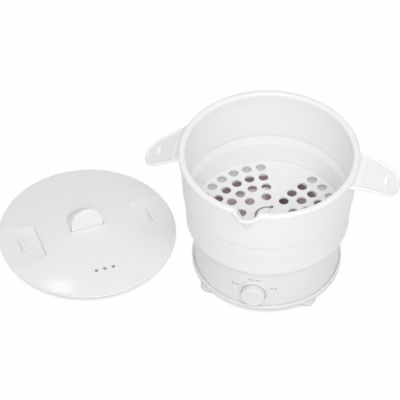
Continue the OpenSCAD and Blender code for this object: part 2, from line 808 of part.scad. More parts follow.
// The socket's outline, wide at the bottom and cut at its two top corners
module socket_outline() {
    w = socket_w / 2;
    h = socket_h / 2;
    polygon([[-w, -h], [w, -h], [w, h - socket_cut], [w - socket_cut, h], [-w + socket_cut, h], [-w, h - socket_cut]]);
}

module power_inlet() {
    color(black_plastic) difference() {
        union() {
            translate([-inlet_w / 2, inlet_back_y, inlet_z - inlet_h / 2])
                cube([inlet_w, inlet_d + eps, inlet_h]);
            translate([-inlet_flange_w / 2, inlet_y, inlet_z - inlet_flange_h / 2])
                cube([inlet_flange_w, inlet_flange_t, inlet_flange_h]);
        }
        translate([0, socket_y + socket_d + 1, inlet_z]) rotate([90, 0, 0])
            linear_extrude(socket_d + 1) socket_outline();
        for (side = [-1, 1])
            along_y(screw_r + screw_clear, inlet_y - 1, inlet_y + inlet_flange_t + 1, inlet_z, side * inlet_screw_pitch / 2);
    }
}

// The three contact pins in the socket, and their solder tabs behind the inlet
module inlet_pins() {
    color(brass) for (place = [[-pin_x, pin_z], [pin_x, pin_z], [0, pin_z + pin_dz]]) {
        translate([place.x - pin_t / 2, socket_y, place.y - pin_w / 2]) cube([pin_t, pin_l, pin_w]);
        translate([place.x - pin_t / 2, tab_end_y, place.y - pin_w / 2]) cube([pin_t, tab_l, pin_w]);
    }
}

module inlet_screws() {
    color(steel) for (side = [-1, 1])
        translate([side * inlet_screw_pitch / 2, inlet_y + inlet_flange_t + screw_head_h, inlet_z])
            rotate([90, 0, 0]) screw(screw_head_h + inlet_flange_t + inlet_screw_in);
}

module live_lead() {
    color("brown") lead(pin_x, live_route);
}

module load_lead() {
    color("brown") lead(-thermostat_tab_x, load_route);
}

module neutral_lead() {
    color("royalblue") lead(-pin_x, neutral_route);
}

module earth_lead() {
    color("yellowgreen") lead(0, earth_route);
}

// Bowl

module bowl_foot() {
    color(white_silicone) difference() {
        ring(pan_r + hole_clear, round_r, base_top, base_top + silicone_t);
        on_circle(stud_count, stud_place_r, 45)
            translate([0, 0, base_top - 1]) cylinder(r = stud_r + hole_clear, h = silicone_t + 2);
    }
}

// The lower tier and the sloping step above it, which turn inside out when the bowl is pushed down
module bowl_fold() {
    straight_z = base_top + bowl_round;
    step_z = crease_z - step_h;
    top_z = crease_z - crease_gap;
    color(white_silicone) rotate_extrude() {
        translate([round_r, straight_z]) quarter_ring(bowl_round, bowl_round - silicone_t);
        polygon([
            [lower_r - silicone_t, straight_z], [lower_r, straight_z], [lower_r, step_z],
            [upper_r, top_z], [upper_r - silicone_t, top_z], [lower_r - silicone_t, step_z]
        ]);
    }
}

// The space inside the upper tier
module upper_inside() {
    translate([0, 0, crease_z - 1])
        cylinder(r1 = upper_r - silicone_t, r2 = upper_top_r - silicone_t, h = pot_h - crease_z + 2);
}

// The lip's channel, as a cone that widens upwards; grown is its distance outside the inner face
module lip_cone(grown) {
    translate([0, -(rim_r + lip_reach - lip_mouth_r), pot_h - lip_depth])
        cylinder(r1 = lip_toe_r - silicone_t + grown, r2 = lip_mouth_r - silicone_t + grown, h = lip_depth);
}

// The droop of the ear on the side given
function ear_droop(side) = side < 0 ? ear_droop_left : ear_droop_right;

// Distance of an ear's hook slot from the axis
function ear_slot_r(side) = ear_pivot_r + ear_slot_out * cos(ear_droop(side))
    - (ear_bend_r + ear_t / 2) * sin(ear_droop(side));

// A place on the ear: x along the drooping ear from its bending line, z square to the ear
module ear_frame(side) {
    mirror([side < 0 ? 1 : 0, 0, 0])
        translate([ear_pivot_r, 0, pot_h - ear_pivot_drop]) rotate([0, ear_droop(side), 0]) children();
}

// The ear's outline: straight sides that run from the root to two round tip corners
module ear_outline(inset) {
    root = [upper_top_r - ear_root_in - ear_pivot_r, ear_root_w / 2 - inset];
    tip_r = ear_tip_r - inset;
    tip = [ear_len - ear_tip_r, ear_tip_flat / 2];
    across = tip - root;
    side_dir = atan2(across.y, across.x) + asin(tip_r / norm(across));
    side_l = sqrt(across * across - tip_r * tip_r);
    touch = root + side_l * [cos(side_dir), sin(side_dir)];
    polygon([
        [root.x, -root.y], [touch.x, -touch.y], [tip.x + tip_r, -tip.y],
        [tip.x + tip_r, tip.y], touch, root
    ]);
    for (side = [-1, 1])
        translate([tip.x, side * tip.y]) circle(r = tip_r);
}

// The fixed stub of an ear, between the bowl and the bending line
module ear_root(side) {
    ear_frame(side) translate([0, 0, -ear_bend_r - ear_t]) linear_extrude(ear_t)
        intersection() {
            ear_outline(0);
            translate([-ear_len, -ear_root_w]) square([ear_len + ear_start - ear_gap, 2 * ear_root_w]);
        }
}

module ear(side) {
    panel_start = ear_groove_start + 2 * ear_ridge_pitch;
    color(white_silicone) rotate(bowl_turn) difference() {
        ear_frame(side) translate([0, 0, -ear_bend_r - ear_t]) {
            difference() {
                linear_extrude(ear_t) intersection() {
                    ear_outline(0);
                    translate([ear_start, -ear_root_w]) square([ear_len, 2 * ear_root_w]);
                }
                translate([0, 0, ear_t - ear_panel_d]) linear_extrude(ear_panel_d + 1) intersection() {
                    ear_outline(ear_border);
                    translate([panel_start, -ear_root_w]) square([ear_len, 2 * ear_root_w]);
                }
                for (i = [0, 1])
                    translate([ear_groove_start + i * ear_ridge_pitch, -ear_root_w, ear_t - ear_panel_d])
                        cube([ear_ridge_pitch - ear_ridge_w, 2 * ear_root_w, ear_panel_d + 1]);
            }
        }
        translate([side * ear_slot_r(side) - ear_slot_w / 2, -ear_slot_l / 2, 0])
            cube([ear_slot_w, ear_slot_l, pot_h]);
    }
}

module bowl_upper() {
    lip_y = rim_r + lip_reach - lip_mouth_r;
    color(white_silicone) rotate(bowl_turn) {
        difference() {
            union() {
                rotate_extrude() {
                    polygon([
                        [upper_r - silicone_t, crease_z], [upper_r, crease_z],
                        [upper_top_r, rim_z + rim_t / 2], [upper_top_r - silicone_t, rim_z + rim_t / 2]
                    ]);
                    translate([rim_r, pot_h]) bead(rim_w, rim_t);
                }
                difference() {
                    union() {
                        lip_cone(silicone_t);
                        ear_root(1);
                        ear_root(-1);
                    }
                    upper_inside();
                }
            }
            lip_cone(0);
            translate([0, -lip_y, pot_h - eps]) cylinder(r = lip_mouth_r - silicone_t, h = 1);
        }
        difference() {
            translate([0, -lip_y, pot_h - lip_bead_w / 2]) rotate_extrude()
                translate([lip_mouth_r - lip_bead_w / 2, 0]) circle(d = lip_bead_w);
            translate([0, 0, rim_z - 1]) cylinder(r = rim_r - rim_w / 2, h = rim_t + 2);
        }
    }
}

// Steamer tray

// The tongue's outline as a half disc, to the left of its fold line
module tongue_half(r) {
    intersection() {
        circle(r = r);
        translate([-r, -r]) square([r, 2 * r]);
    }
}

module steamer_tray() {
    tray_low = tray_z - tray_t;
    color(white_plastic) difference() {
        rotate_extrude() polygon([
            [0, tray_low], [tray_r - tray_bevel, tray_low], [tray_r, tray_low + tray_bevel],
            [tray_r, tray_z + tray_edge_h], [tray_r - tray_edge_w, tray_z + tray_edge_h],
            [tray_r - tray_edge_w, tray_z], [0, tray_z]
        ]);
        for (sector = [0 : sectors - 1], i = [0 : hole_rings - 1], k = [0 : sector_holes[i] - 1])
            rotate(spoke_dir + (sector + 0.5) * 360 / sectors + (k - (sector_holes[i] - 1) / 2) * sector_step[i])
                translate([hole_ring_r + i * hole_ring_pitch, 0, tray_z - tray_t - 1])
                    cylinder(d = hole_d, h = tray_t + 2, $fn = 48);
        rotate(spoke_dir - 90) translate([0, 0, tray_z - tray_t - 1]) linear_extrude(tray_t + 2) {
            tongue_half(tongue_r + tongue_slot);
            for (side = [-1, 1])
                translate([0, side * (tongue_r + tongue_slot)]) circle(r = tongue_end_r);
        }
    }
}

module tray_lift_tab() {
    color(white_plastic) rotate(spoke_dir - 90) translate([0, 0, tray_z - tray_t]) linear_extrude(tray_t)
        difference() {
            tongue_half(tongue_r);
            translate([-tongue_gap, -tongue_r]) square([tongue_r, 2 * tongue_r]);
        }
}

// Lid

module lid_frame() {
    translate([-lid_away, -lid_front, 0]) rotate(lid_turn) children();
}

// The solid under the dome's top surface, lowered by the distance given
module dome_solid(down) {
    rotate_extrude() intersection() {
        translate([0, lid_apex - dome_r]) circle(r = dome_r - down, $fn = 2880);
        square([lid_r, lid_apex + 1]);
    }
}

// The outline of the folded tab, grown by a gap
module tab_outline(grown) {
    arch_r = tab_w / 2;
    translate([-arch_r - grown, -tab_t / 2 - grown])
        square([tab_w + 2 * grown, tab_reach - arch_r + tab_t / 2 + grown]);
    translate([0, tab_reach - arch_r]) circle(r = arch_r + grown);
}

// A prism of the folded tab's outline, between two heights
module tab_prism(grown, z0, z1) {
    translate([0, tab_back, z0]) linear_extrude(z1 - z0) tab_outline(grown);
}

// The space of an ear recess, which widens outwards, grown on its three walls
module ear_recess_box(grown, z0) {
    reach = lid_r - recess_r + 1;
    side_out = grown / cos(recess_flare);
    inner_w = recess_w / 2 + side_out - grown * tan(recess_flare);
    outer_w = recess_w / 2 + side_out + reach * tan(recess_flare);
    translate([recess_r, 0, z0]) linear_extrude(lid_apex) polygon([
        [-grown, -inner_w], [reach, -outer_w], [reach, outer_w], [-grown, inner_w]
    ]);
}

module lid_hook() {
    translate([hook_r - hook_t / 2, -hook_w / 2, lid_edge_z - eps]) cube([hook_t, hook_w, hook_h]);
    translate([hook_r - hook_t / 2 - hook_nose, -hook_w / 2, lid_edge_z + hook_h - hook_nose_h])
        cube([hook_nose + eps, hook_w, hook_nose_h - eps]);
}

module lid() {
    tab_floor_z = tab_pivot_z - tab_t / 2 - tab_gap;
    color(white_gloss) lid_frame() {
        difference() {
            union() {
                difference() {
                    dome_solid(0);
                    dome_solid(lid_t);
                }
                intersection() {
                    ring(skirt_r - skirt_t, skirt_r, 0, lid_apex);
                    dome_solid(lid_t / 2);
                }
                intersection() {
                    union() {
                        for (side = [0, 180])
                            rotate(side) ear_recess_box(recess_wall, skirt_h);
                        tab_prism(tab_gap + tab_recess_wall, tab_floor_z - tab_recess_wall, lid_apex);
                    }
                    dome_solid(0);
                }
            }
            for (side = [0, 180])
                rotate(side) ear_recess_box(0, lid_edge_z);
            tab_prism(tab_gap, tab_floor_z, lid_apex + 1);
            tab_pin_solid(shaft_clear);
            for (i = [-1 : 1])
                translate([i * steam_pitch, -steam_r, 0]) cylinder(d = steam_d, h = lid_apex + 1);
        }
        for (side = [0, 180])
            rotate(side) lid_hook();
    }
}

// The tab's hinge pin along X, grown by a clearance
module tab_pin_solid(clear) {
    pin_half = tab_w / 2 + tab_gap + tab_pin_in;
    translate([-pin_half, tab_back, tab_pivot_z]) rotate([0, 90, 0])
        cylinder(r = tab_pin_r + clear, h = 2 * pin_half);
}

module lid_tab() {
    color(white_gloss) lid_frame() difference() {
        union() {
            translate([0, tab_back + tab_t / 2, tab_pivot_z]) rotate([90, 0, 0]) linear_extrude(tab_t)
                intersection() {
                    tab_outline(0);
                    translate([-tab_w, 0]) square([2 * tab_w, 2 * tab_reach]);
                }
            translate([-tab_w / 2, tab_back, tab_pivot_z]) rotate([0, 90, 0]) cylinder(d = tab_t, h = tab_w);
        }
        tab_pin_solid(tab_pin_clear);
    }
}

module lid_tab_pin() {
    color(steel) lid_frame() tab_pin_solid(0);
}

base_housing();
bottom_cover();
foot(-45);  // foot_front_right
foot(-135);  // foot_front_left
foot(45);  // foot_back_right
foot(135);  // foot_back_left
cover_screws();
heating_pan();
clamp_ring();
clamp_nuts();
spreader_plate();
heating_element();
heat_shield();
thermostat();
thermal_fuse();
switch_body();
switch_nut();
switch_shaft();
dial_collar();
knob();
power_inlet();
inlet_pins();
inlet_screws();
live_lead();
load_lead();
neutral_lead();
earth_lead();
bowl_foot();
bowl_fold();
bowl_upper();
ear(-1);  // ear_left
ear(1);  // ear_right
steamer_tray();
tray_lift_tab();
lid();
lid_tab();
lid_tab_pin();
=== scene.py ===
# A white collapsible travel hot pot: a folding silicone bowl on a round heating base, a steamer tray
# inside the bowl, and a glossy lid that lies on the table beside it. Sizes are in millimetres.
import math

import bmesh
import bpy
from mathutils import Matrix, Vector
from mathutils.geometry import delaunay_2d_cdt


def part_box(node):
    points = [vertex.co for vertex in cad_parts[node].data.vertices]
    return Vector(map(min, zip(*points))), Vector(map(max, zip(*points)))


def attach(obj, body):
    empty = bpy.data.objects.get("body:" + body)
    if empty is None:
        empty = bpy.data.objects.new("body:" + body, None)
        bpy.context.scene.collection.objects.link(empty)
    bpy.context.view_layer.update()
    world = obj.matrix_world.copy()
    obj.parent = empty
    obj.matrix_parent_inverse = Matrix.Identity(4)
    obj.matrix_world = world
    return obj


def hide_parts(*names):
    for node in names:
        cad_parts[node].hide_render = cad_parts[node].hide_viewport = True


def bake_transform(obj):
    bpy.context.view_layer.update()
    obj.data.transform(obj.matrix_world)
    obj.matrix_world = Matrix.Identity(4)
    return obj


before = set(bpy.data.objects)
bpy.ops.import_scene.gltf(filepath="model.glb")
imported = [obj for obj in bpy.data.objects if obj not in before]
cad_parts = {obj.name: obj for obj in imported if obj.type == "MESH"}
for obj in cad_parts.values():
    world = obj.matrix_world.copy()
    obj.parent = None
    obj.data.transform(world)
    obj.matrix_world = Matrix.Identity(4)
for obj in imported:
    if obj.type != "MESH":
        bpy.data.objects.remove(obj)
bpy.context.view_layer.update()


# Bottom cover: the base's white polypropylene floor, with a rounded lip that stands proud of the wall.
# It is injection moulded, closed from below with four screws, and vented by radial slots.
MM = 0.001
# A Mix node's two inputs and its output, by their numbers.
MIX_SOCKETS = {"FLOAT": (2, 3, 0), "RGBA": (6, 7, 2)}
CLOUD_EDGES = (0.3, 0.7)
CLOUD_DETAIL, GRAIN_DETAIL = 4, 3
GRAIN_DEPTH = 0.4
COAT_ROUGHNESS = 0.08
SOFT_DEPTH = 4.0
SOFT_TINT = (1.0, 0.98, 0.96)
MERGE_DISTANCE = 0.002
FLAT_ANGLE = 0.3
CREASE = 38


def sockets(tree, way, kind, *names):
    """Adds named inputs or outputs of one kind to a node group."""
    for name in names:
        tree.interface.new_socket(name, in_out=way, socket_type="NodeSocket" + kind)


def fed(tree, socket, value):
    """Gives a node's input a plain value, or a link from another node's output."""
    if isinstance(value, bpy.types.NodeSocket):
        tree.links.new(value, socket)
    else:
        socket.default_value = value


def node(tree, kind, values, **settings):
    """A new node with its settings, and its inputs by name or number. Gives the node's first output."""
    new = tree.nodes.new(kind)
    for name, setting in settings.items():
        setattr(new, name, setting)
    for name, value in values.items():
        fed(tree, new.inputs[name], value)
    return new.outputs[0]


def ranged(tree, value, edges, levels=(0, 1)):
    """The output of a Map Range node, which takes the span between two edges to two levels."""
    ends = {"From Min": edges[0], "From Max": edges[1], "To Min": levels[0], "To Max": levels[1]}
    return node(tree, "ShaderNodeMapRange", {"Value": value, **ends})


def mixed(tree, kind, share, first, second):
    """The output of a Mix node that goes from the first value to the second."""
    mix = tree.nodes.new("ShaderNodeMix")
    mix.data_type = kind
    low, high, out = MIX_SOCKETS[kind]
    for place, value in ((0, share), (low, first), (high, second)):
        fed(tree, mix.inputs[place], value)
    return mix.outputs[out]


def moulded_skin():
    """A node group for moulded surfaces: clouds of colour and gloss, and a fine grain to bump."""
    group = bpy.data.node_groups.new("moulded_skin", "ShaderNodeTree")
    sockets(group, "INPUT", "Color", "Colour", "Cloud colour")
    sockets(group, "INPUT", "Float", "Cloud scale", "Grain scale", "Least roughness", "Most roughness")
    sockets(group, "OUTPUT", "Color", "Colour")
    sockets(group, "OUTPUT", "Float", "Roughness", "Height")
    given = group.nodes.new("NodeGroupInput").outputs
    result = group.nodes.new("NodeGroupOutput").inputs
    place = group.nodes.new("ShaderNodeTexCoord").outputs["Object"]
    clouds, grain = [
        node(group, "ShaderNodeTexNoise", {"Vector": place, "Scale": given[scale], "Detail": detail})
        for scale, detail in (("Cloud scale", CLOUD_DETAIL), ("Grain scale", GRAIN_DETAIL))
    ]
    spread = ranged(group, clouds, CLOUD_EDGES)
    fed(group, result["Colour"], mixed(group, "RGBA", spread, given["Colour"], given["Cloud colour"]))
    gloss = mixed(group, "FLOAT", spread, given["Least roughness"], given["Most roughness"])
    fed(group, result["Roughness"], gloss)
    fed(group, result["Height"], grain)
    return group


SKIN = moulded_skin()


def moulded(
    name, colour, cloud, roughness, clouds=18, grain=1400, bump=0.05, coat=0.0, soft=0.0,
    specular=0.5, metal=0.0
):
    """A moulded material: two colours that cloud into each other, a range of roughness and a grain."""
    material = bpy.data.materials.new(name)
    material.use_nodes = True
    tree = material.node_tree
    surface = tree.nodes["Principled BSDF"].inputs
    skin = tree.nodes.new("ShaderNodeGroup")
    skin.node_tree = SKIN
    for socket, value in (
        ("Colour", (*colour, 1)), ("Cloud colour", (*cloud, 1)), ("Cloud scale", clouds),
        ("Grain scale", grain), ("Least roughness", roughness[0]), ("Most roughness", roughness[1])
    ):
        skin.inputs[socket].default_value = value
    relief = node(tree, "ShaderNodeBump", {
        "Strength": bump, "Distance": GRAIN_DEPTH * MM, "Height": skin.outputs["Height"]
    })
    for socket, value in (
        ("Base Color", skin.outputs["Colour"]), ("Roughness", skin.outputs["Roughness"]), ("Normal", relief),
        ("Metallic", metal), ("Specular IOR Level", specular), ("Coat Weight", coat),
        ("Coat Roughness", COAT_ROUGHNESS), ("Subsurface Weight", soft), ("Subsurface Radius", SOFT_TINT),
        ("Subsurface Scale", SOFT_DEPTH * MM)
    ):
        fed(tree, surface[socket], value)
    return material


def in_scene(name, data):
    """A new object in the scene, for a mesh, a curve, a lamp or a camera."""
    thing = bpy.data.objects.new(name, data)
    bpy.context.scene.collection.objects.link(thing)
    return thing


def placed(name, mesh, material, crease=CREASE):
    """A new object for a finished mesh, smooth except at edges sharper than the crease angle."""
    mesh.name = name
    mesh.materials.clear()
    mesh.materials.append(material)
    mesh.shade_smooth()
    mesh.set_sharp_from_angle(angle=math.radians(crease))
    return in_scene(name, mesh)


def evaluated(thing):
    """A new mesh of an object as its modifiers or its curve make it."""
    graph = bpy.context.evaluated_depsgraph_get()
    return bpy.data.meshes.new_from_object(thing.evaluated_get(graph), depsgraph=graph)


def finished(piece):
    """Turns a piece's modifiers into a plain mesh."""
    plain = evaluated(piece)
    piece.modifiers.clear()
    old = piece.data
    piece.data = plain
    plain.name = piece.name
    bpy.data.meshes.remove(old)
    return piece


def rounded_edges(piece, width, steps=2, angle=40):
    """Rounds a piece's sharp edges, as a mould does, and keeps its flat faces flat."""
    bevel = piece.modifiers.new("edges", "BEVEL")
    bevel.width = width * MM
    bevel.segments = steps
    bevel.limit_method = "ANGLE"
    bevel.angle_limit = math.radians(angle)
    flat = piece.modifiers.new("flats", "WEIGHTED_NORMAL")
    flat.keep_sharp = True
    return finished(piece)


def softened(name, solid, body, material, edge):
    """The rigid piece that shows for a solid: its own shape, with the sharp edges rounded."""
    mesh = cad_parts[solid].data.copy()
    shape = bmesh.new()
    shape.from_mesh(mesh)
    bmesh.ops.remove_doubles(shape, verts=shape.verts, dist=MERGE_DISTANCE * MM)
    flat = math.radians(FLAT_ANGLE)
    bmesh.ops.dissolve_limit(shape, angle_limit=flat, verts=shape.verts, edges=shape.edges)
    shape.to_mesh(mesh)
    shape.free()
    piece = rounded_edges(placed(name, mesh, material), edge)
    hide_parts(solid)
    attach(piece, body)


BASE_WHITE = moulded(
    "satin_white_base", (0.885, 0.885, 0.883), (0.87, 0.87, 0.868), (0.34, 0.44), bump=0.06, specular=0.2
)
softened("cover_floor", "bottom_cover", "base", BASE_WHITE, edge=0.2)


# Feet: four pads of grey rubber with a bevelled edge, on which the base stands.
# A spigot on each one holds it in the bottom cover.
FOOT_GREY = moulded("grey_foot_rubber", (0.82, 0.82, 0.82), (0.77, 0.77, 0.77), (0.6, 0.75), bump=0.2)
for corner in ("front_right", "front_left", "back_right", "back_left"):
    softened("pad_" + corner, "foot_" + corner, "base", FOOT_GREY, edge=0.5)


# Housing: the white satin wall of the base, with a flat seat for the dial and one for the inlet.
# It is moulded in one piece, and the pan and the bowl are clamped on its top shoulder.
softened("housing_wall", "base_housing", "base", BASE_WHITE, edge=0.3)


# Heating pan: a shallow pressed steel pan with a polished inside, seen only through the tray's holes.
# Its flange clamps the bowl's foot on the housing's shoulder.
FLANGE_GREY = (0.66, 0.66, 0.66)
FLANGE_CLOUD = 0.9
FLANGE_IN, FLANGE_OUT = 60.0, 64.0


def polished_steel(name, colour, stain, roughness):
    """Pressed steel: a little colour from heat in clouds, and a gloss that varies with them."""
    return moulded(name, colour, stain, roughness, clouds=35, grain=2500, bump=0.03, metal=1.0)


def plain_flange(material):
    """Keeps the pan's heat colour to its inside: the flange outside it stays grey steel."""
    tree = material.node_tree
    skin = tree.nodes["Group"].inputs
    place = tree.nodes.new("ShaderNodeTexCoord").outputs["Object"]
    level = node(tree, "ShaderNodeMapping", {"Vector": place, "Scale": (1, 1, 0)})
    away = tree.nodes.new("ShaderNodeVectorMath")
    away.operation = "LENGTH"
    fed(tree, away.inputs[0], level)
    outside = ranged(tree, away.outputs["Value"], (FLANGE_IN * MM, FLANGE_OUT * MM))
    for name, share in (("Colour", 1.0), ("Cloud colour", FLANGE_CLOUD)):
        grey = (*(part * share for part in FLANGE_GREY), 1)
        fed(tree, skin[name], mixed(tree, "RGBA", outside, skin[name].default_value, grey))


def dressed(solid, material):
    """Gives a solid that shows as it is its material."""
    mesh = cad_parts[solid].data
    mesh.materials.clear()
    mesh.materials.append(material)


PAN_STEEL = polished_steel("pan_steel", (0.80, 0.72, 0.73), (0.62, 0.52, 0.54), (0.38, 0.52))
plain_flange(PAN_STEEL)
dressed("heating_pan", PAN_STEEL)


# Inner parts: the clamp, the heater, the switch and the wiring inside the closed base.
# They are plain bought-in parts that only show when the base is taken apart.
PLAIN_STEEL = polished_steel("plain_steel", (0.56, 0.55, 0.54), (0.50, 0.49, 0.48), (0.28, 0.4))
ALUMINIUM = polished_steel("rolled_aluminium", (0.68, 0.68, 0.69), (0.62, 0.62, 0.63), (0.3, 0.45))
BRASS = polished_steel("contact_brass", (0.75, 0.6, 0.28), (0.68, 0.53, 0.22), (0.25, 0.35))
BLACK = moulded("satin_black", (0.028, 0.028, 0.03), (0.02, 0.02, 0.022), (0.4, 0.5), bump=0.15)
BROWN = moulded("brown_sleeve", (0.2, 0.09, 0.04), (0.16, 0.07, 0.03), (0.4, 0.5))
BLUE = moulded("blue_sleeve", (0.05, 0.15, 0.5), (0.04, 0.12, 0.42), (0.4, 0.5))
GREEN = moulded("green_sleeve", (0.3, 0.5, 0.08), (0.26, 0.44, 0.06), (0.4, 0.5))
inner_parts = {
    PLAIN_STEEL: ("clamp_ring", "clamp_nuts", "heating_element", "switch_nut", "switch_shaft"),
    ALUMINIUM: ("spreader_plate", "heat_shield", "thermal_fuse"),
    BRASS: ("inlet_pins",),
    BLACK: ("thermostat", "switch_body"),
    BROWN: ("live_lead", "load_lead"),
    BLUE: ("neutral_lead",),
    GREEN: ("earth_lead",),
}
for material, names in inner_parts.items():
    for name in names:
        dressed(name, material)


# Power inlet: a black moulded socket for a mains cord, with its contact pins inside.
# Two screws hold it on the flat seat at the back of the housing.
softened("inlet_socket", "power_inlet", "base", BLACK, edge=0.4)


# Screws: small steel pan heads with a cross recess, four under the bottom cover and two at the inlet.
# One node tree sets copies of a screw evenly on a ring.
SCREW_HEAD_R, SCREW_HEAD_H, SCREW_R = 2.8, 1.4, 1.5
SCREW_SIDES = 32
CROSS_LONG, CROSS_NARROW = 1.15, 0.26
TIPPED = Matrix.Rotation(math.pi / 2, 4, "X")


def metres(x, y, z):
    """A place given in millimetres, in the scene's unit."""
    return (x * MM, y * MM, z * MM)


def calc(tree, operation, *values):
    """The output of a Math node."""
    return node(tree, "ShaderNodeMath", dict(enumerate(values)), operation=operation)


def point(tree, x, y, z):
    """The output of a node that joins three numbers to a point."""
    return node(tree, "ShaderNodeCombineXYZ", {"X": x, "Y": y, "Z": z})


def polar(tree, radius, angle, height):
    """A point at a distance and an angle from the upright axis."""
    x = calc(tree, "MULTIPLY", radius, calc(tree, "COSINE", angle))
    y = calc(tree, "MULTIPLY", radius, calc(tree, "SINE", angle))
    return point(tree, x, y, height)


def combined(tree, operation, first, *others):
    """The output of an exact Boolean node: a first shape less the others, or all the others joined."""
    result = node(tree, "GeometryNodeMeshBoolean", {}, operation=operation, solver="EXACT")
    if first is not None:
        tree.links.new(first, result.node.inputs["Mesh 1"])
    for other in others:
        tree.links.new(other, result.node.inputs["Mesh 2"])
    return result


def ended(tree, shape, material):
    """Ends a tree: makes copies real, sets the material and gives the shape out."""
    real = node(tree, "GeometryNodeRealizeInstances", {"Geometry": shape})
    coated = node(tree, "GeometryNodeSetMaterial", {"Geometry": real, "Material": material})
    tree.links.new(coated, tree.nodes.new("NodeGroupOutput").inputs["Geometry"])
    return tree


def shape_tree(name, *sizes, counts=()):
    """A new Geometry Nodes tree with named sizes and a material to be given, and those inputs."""
    tree = bpy.data.node_groups.new(name, "GeometryNodeTree")
    sockets(tree, "INPUT", "Geometry", "Geometry")
    sockets(tree, "INPUT", "Int", *counts)
    sockets(tree, "INPUT", "Float", *sizes)
    sockets(tree, "INPUT", "Material", "Material")
    sockets(tree, "OUTPUT", "Geometry", "Geometry")
    return tree, tree.nodes.new("NodeGroupInput").outputs


def screw_ring():
    """Geometry nodes that set screws on a ring, with their heads down and their shanks up."""
    tree, given = shape_tree(
        "screw_ring", "Ring radius", "First angle", "Head radius", "Head height", "Shank radius", "Length",
        counts=("Count",)
    )

    def upright(radius, length):
        rod = node(tree, "GeometryNodeMeshCylinder", {
            "Vertices": SCREW_SIDES, "Radius": radius, "Depth": length
        })
        middle = point(tree, 0, 0, calc(tree, "MULTIPLY", length, 0.5))
        return node(tree, "GeometryNodeTransform", {"Geometry": rod, "Translation": middle})

    def blade(x, y):
        return node(tree, "GeometryNodeMeshCube", {"Size": point(tree, x, y, given["Head height"])})

    head = upright(given["Head radius"], given["Head height"])
    shank = upright(given["Shank radius"], given["Length"])
    long = calc(tree, "MULTIPLY", given["Head radius"], CROSS_LONG)
    narrow = calc(tree, "MULTIPLY", given["Head radius"], CROSS_NARROW)
    whole = combined(tree, "UNION", None, head, shank)
    screw = combined(tree, "DIFFERENCE", whole, blade(long, narrow), blade(narrow, long))
    share = calc(tree, "DIVIDE", node(tree, "GeometryNodeInputIndex", {}), given["Count"])
    angle = calc(tree, "ADD", given["First angle"], calc(tree, "MULTIPLY", share, 2 * math.pi))
    places = node(tree, "GeometryNodePoints", {
        "Count": given["Count"], "Position": polar(tree, given["Ring radius"], angle, 0)
    })
    copies = node(tree, "GeometryNodeInstanceOnPoints", {
        "Points": places, "Instance": screw, "Rotation": point(tree, 0, 0, angle)
    })
    return ended(tree, copies, given["Material"])


def set_inputs(modifier, values):
    """Sets a Geometry Nodes modifier's inputs by the identifiers of the named sockets."""
    for item in modifier.node_group.interface.items_tree:
        if item.item_type == "SOCKET" and item.in_out == "INPUT" and item.name in values:
            modifier[item.identifier] = values[item.name]


SCREWS = screw_ring()
screw_sets = (
    {
        "name": "cover_screw_heads", "node": "cover_screws", "count": 4, "ring": 67.5, "first": 18,
        "length": 8.5, "place": Matrix.Translation(metres(0, 0, 4.5))
    },
    {
        "name": "inlet_screw_heads", "node": "inlet_screws", "count": 2, "ring": 20.0, "first": 0,
        "length": 8.9, "place": Matrix.Translation(metres(0, 78.4, 26)) @ TIPPED
    },
)
for row in screw_sets:
    screws = placed(row["name"], bpy.data.meshes.new(row["name"]), PLAIN_STEEL)
    maker = screws.modifiers.new("screws", "NODES")
    maker.node_group = SCREWS
    set_inputs(maker, {
        "Count": row["count"], "Ring radius": row["ring"] * MM, "First angle": math.radians(row["first"]),
        "Head radius": SCREW_HEAD_R * MM, "Head height": SCREW_HEAD_H * MM,
        "Shank radius": SCREW_R * MM, "Length": row["length"] * MM, "Material": PLAIN_STEEL
    })
    finished(screws)
    screws.data.transform(row["place"])
    rounded_edges(screws, width=0.2, angle=50)
    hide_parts(row["node"])
    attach(screws, "base")


# Dial: a smooth white knob with a rounded edge and a shallow dished face, on the switch's shaft.
# A plain ring of the same plastic stands round it on the housing's seat.
COLLAR_W, COLLAR_T, COLLAR_EDGE = 2.2, 1.7, 0.8
KNOB_EDGE, KNOB_DISH, KNOB_LAND = 1.9, 0.25, 1.4
KNOB_TAPER, KNOB_WALL, KNOB_HOLLOW = 0.3, 2.0, 2.8
KNOB_FOOT_IN, KNOB_FOOT_OUT = 0.3, 0.4
DISH_EDGE, DISH_SLOPE = 0.5, 0.7
POINTER_TURN = math.radians(60)
POINTER_IN, POINTER_OUT, POINTER_HALF = 5.2, 9.4, 0.6
POINTER_CORNER, POINTER_DEPTH, POINTER_OVER = 0.55, 0.75, 1
AXIS_R = 1e-6
CORNER_SHARE = 0.49


def arc_corners(corners, steps=6):
    """A closed outline through corners given as (x, y, radius), with each corner turned into an arc."""
    points = []
    for i, (x, y, radius) in enumerate(corners):
        here = Vector((x, y))
        if radius <= 0:
            points.append((x, y))
            continue
        back = Vector(corners[i - 1][:2]) - here
        onward = Vector(corners[(i + 1) % len(corners)][:2]) - here
        half = back.angle(onward) / 2
        reach = min(radius / math.tan(half), CORNER_SHARE * back.length, CORNER_SHARE * onward.length)
        back.normalize()
        onward.normalize()
        middle = here + (back + onward).normalized() * reach / math.cos(half)
        first = here + back * reach - middle
        last = here + onward * reach - middle
        turn = math.atan2(first.x * last.y - first.y * last.x, first.dot(last))
        for k in range(steps + 1):
            points.append(middle + Matrix.Rotation(turn * k / steps, 2) @ first)
    return [(spot[0], spot[1]) for spot in points]


def closed_mesh(shape):
    """A plain mesh of a closed shape, with its faces pointing outwards."""
    bmesh.ops.recalc_face_normals(shape, faces=shape.faces)
    mesh = bpy.data.meshes.new("closed")
    shape.to_mesh(mesh)
    shape.free()
    return mesh


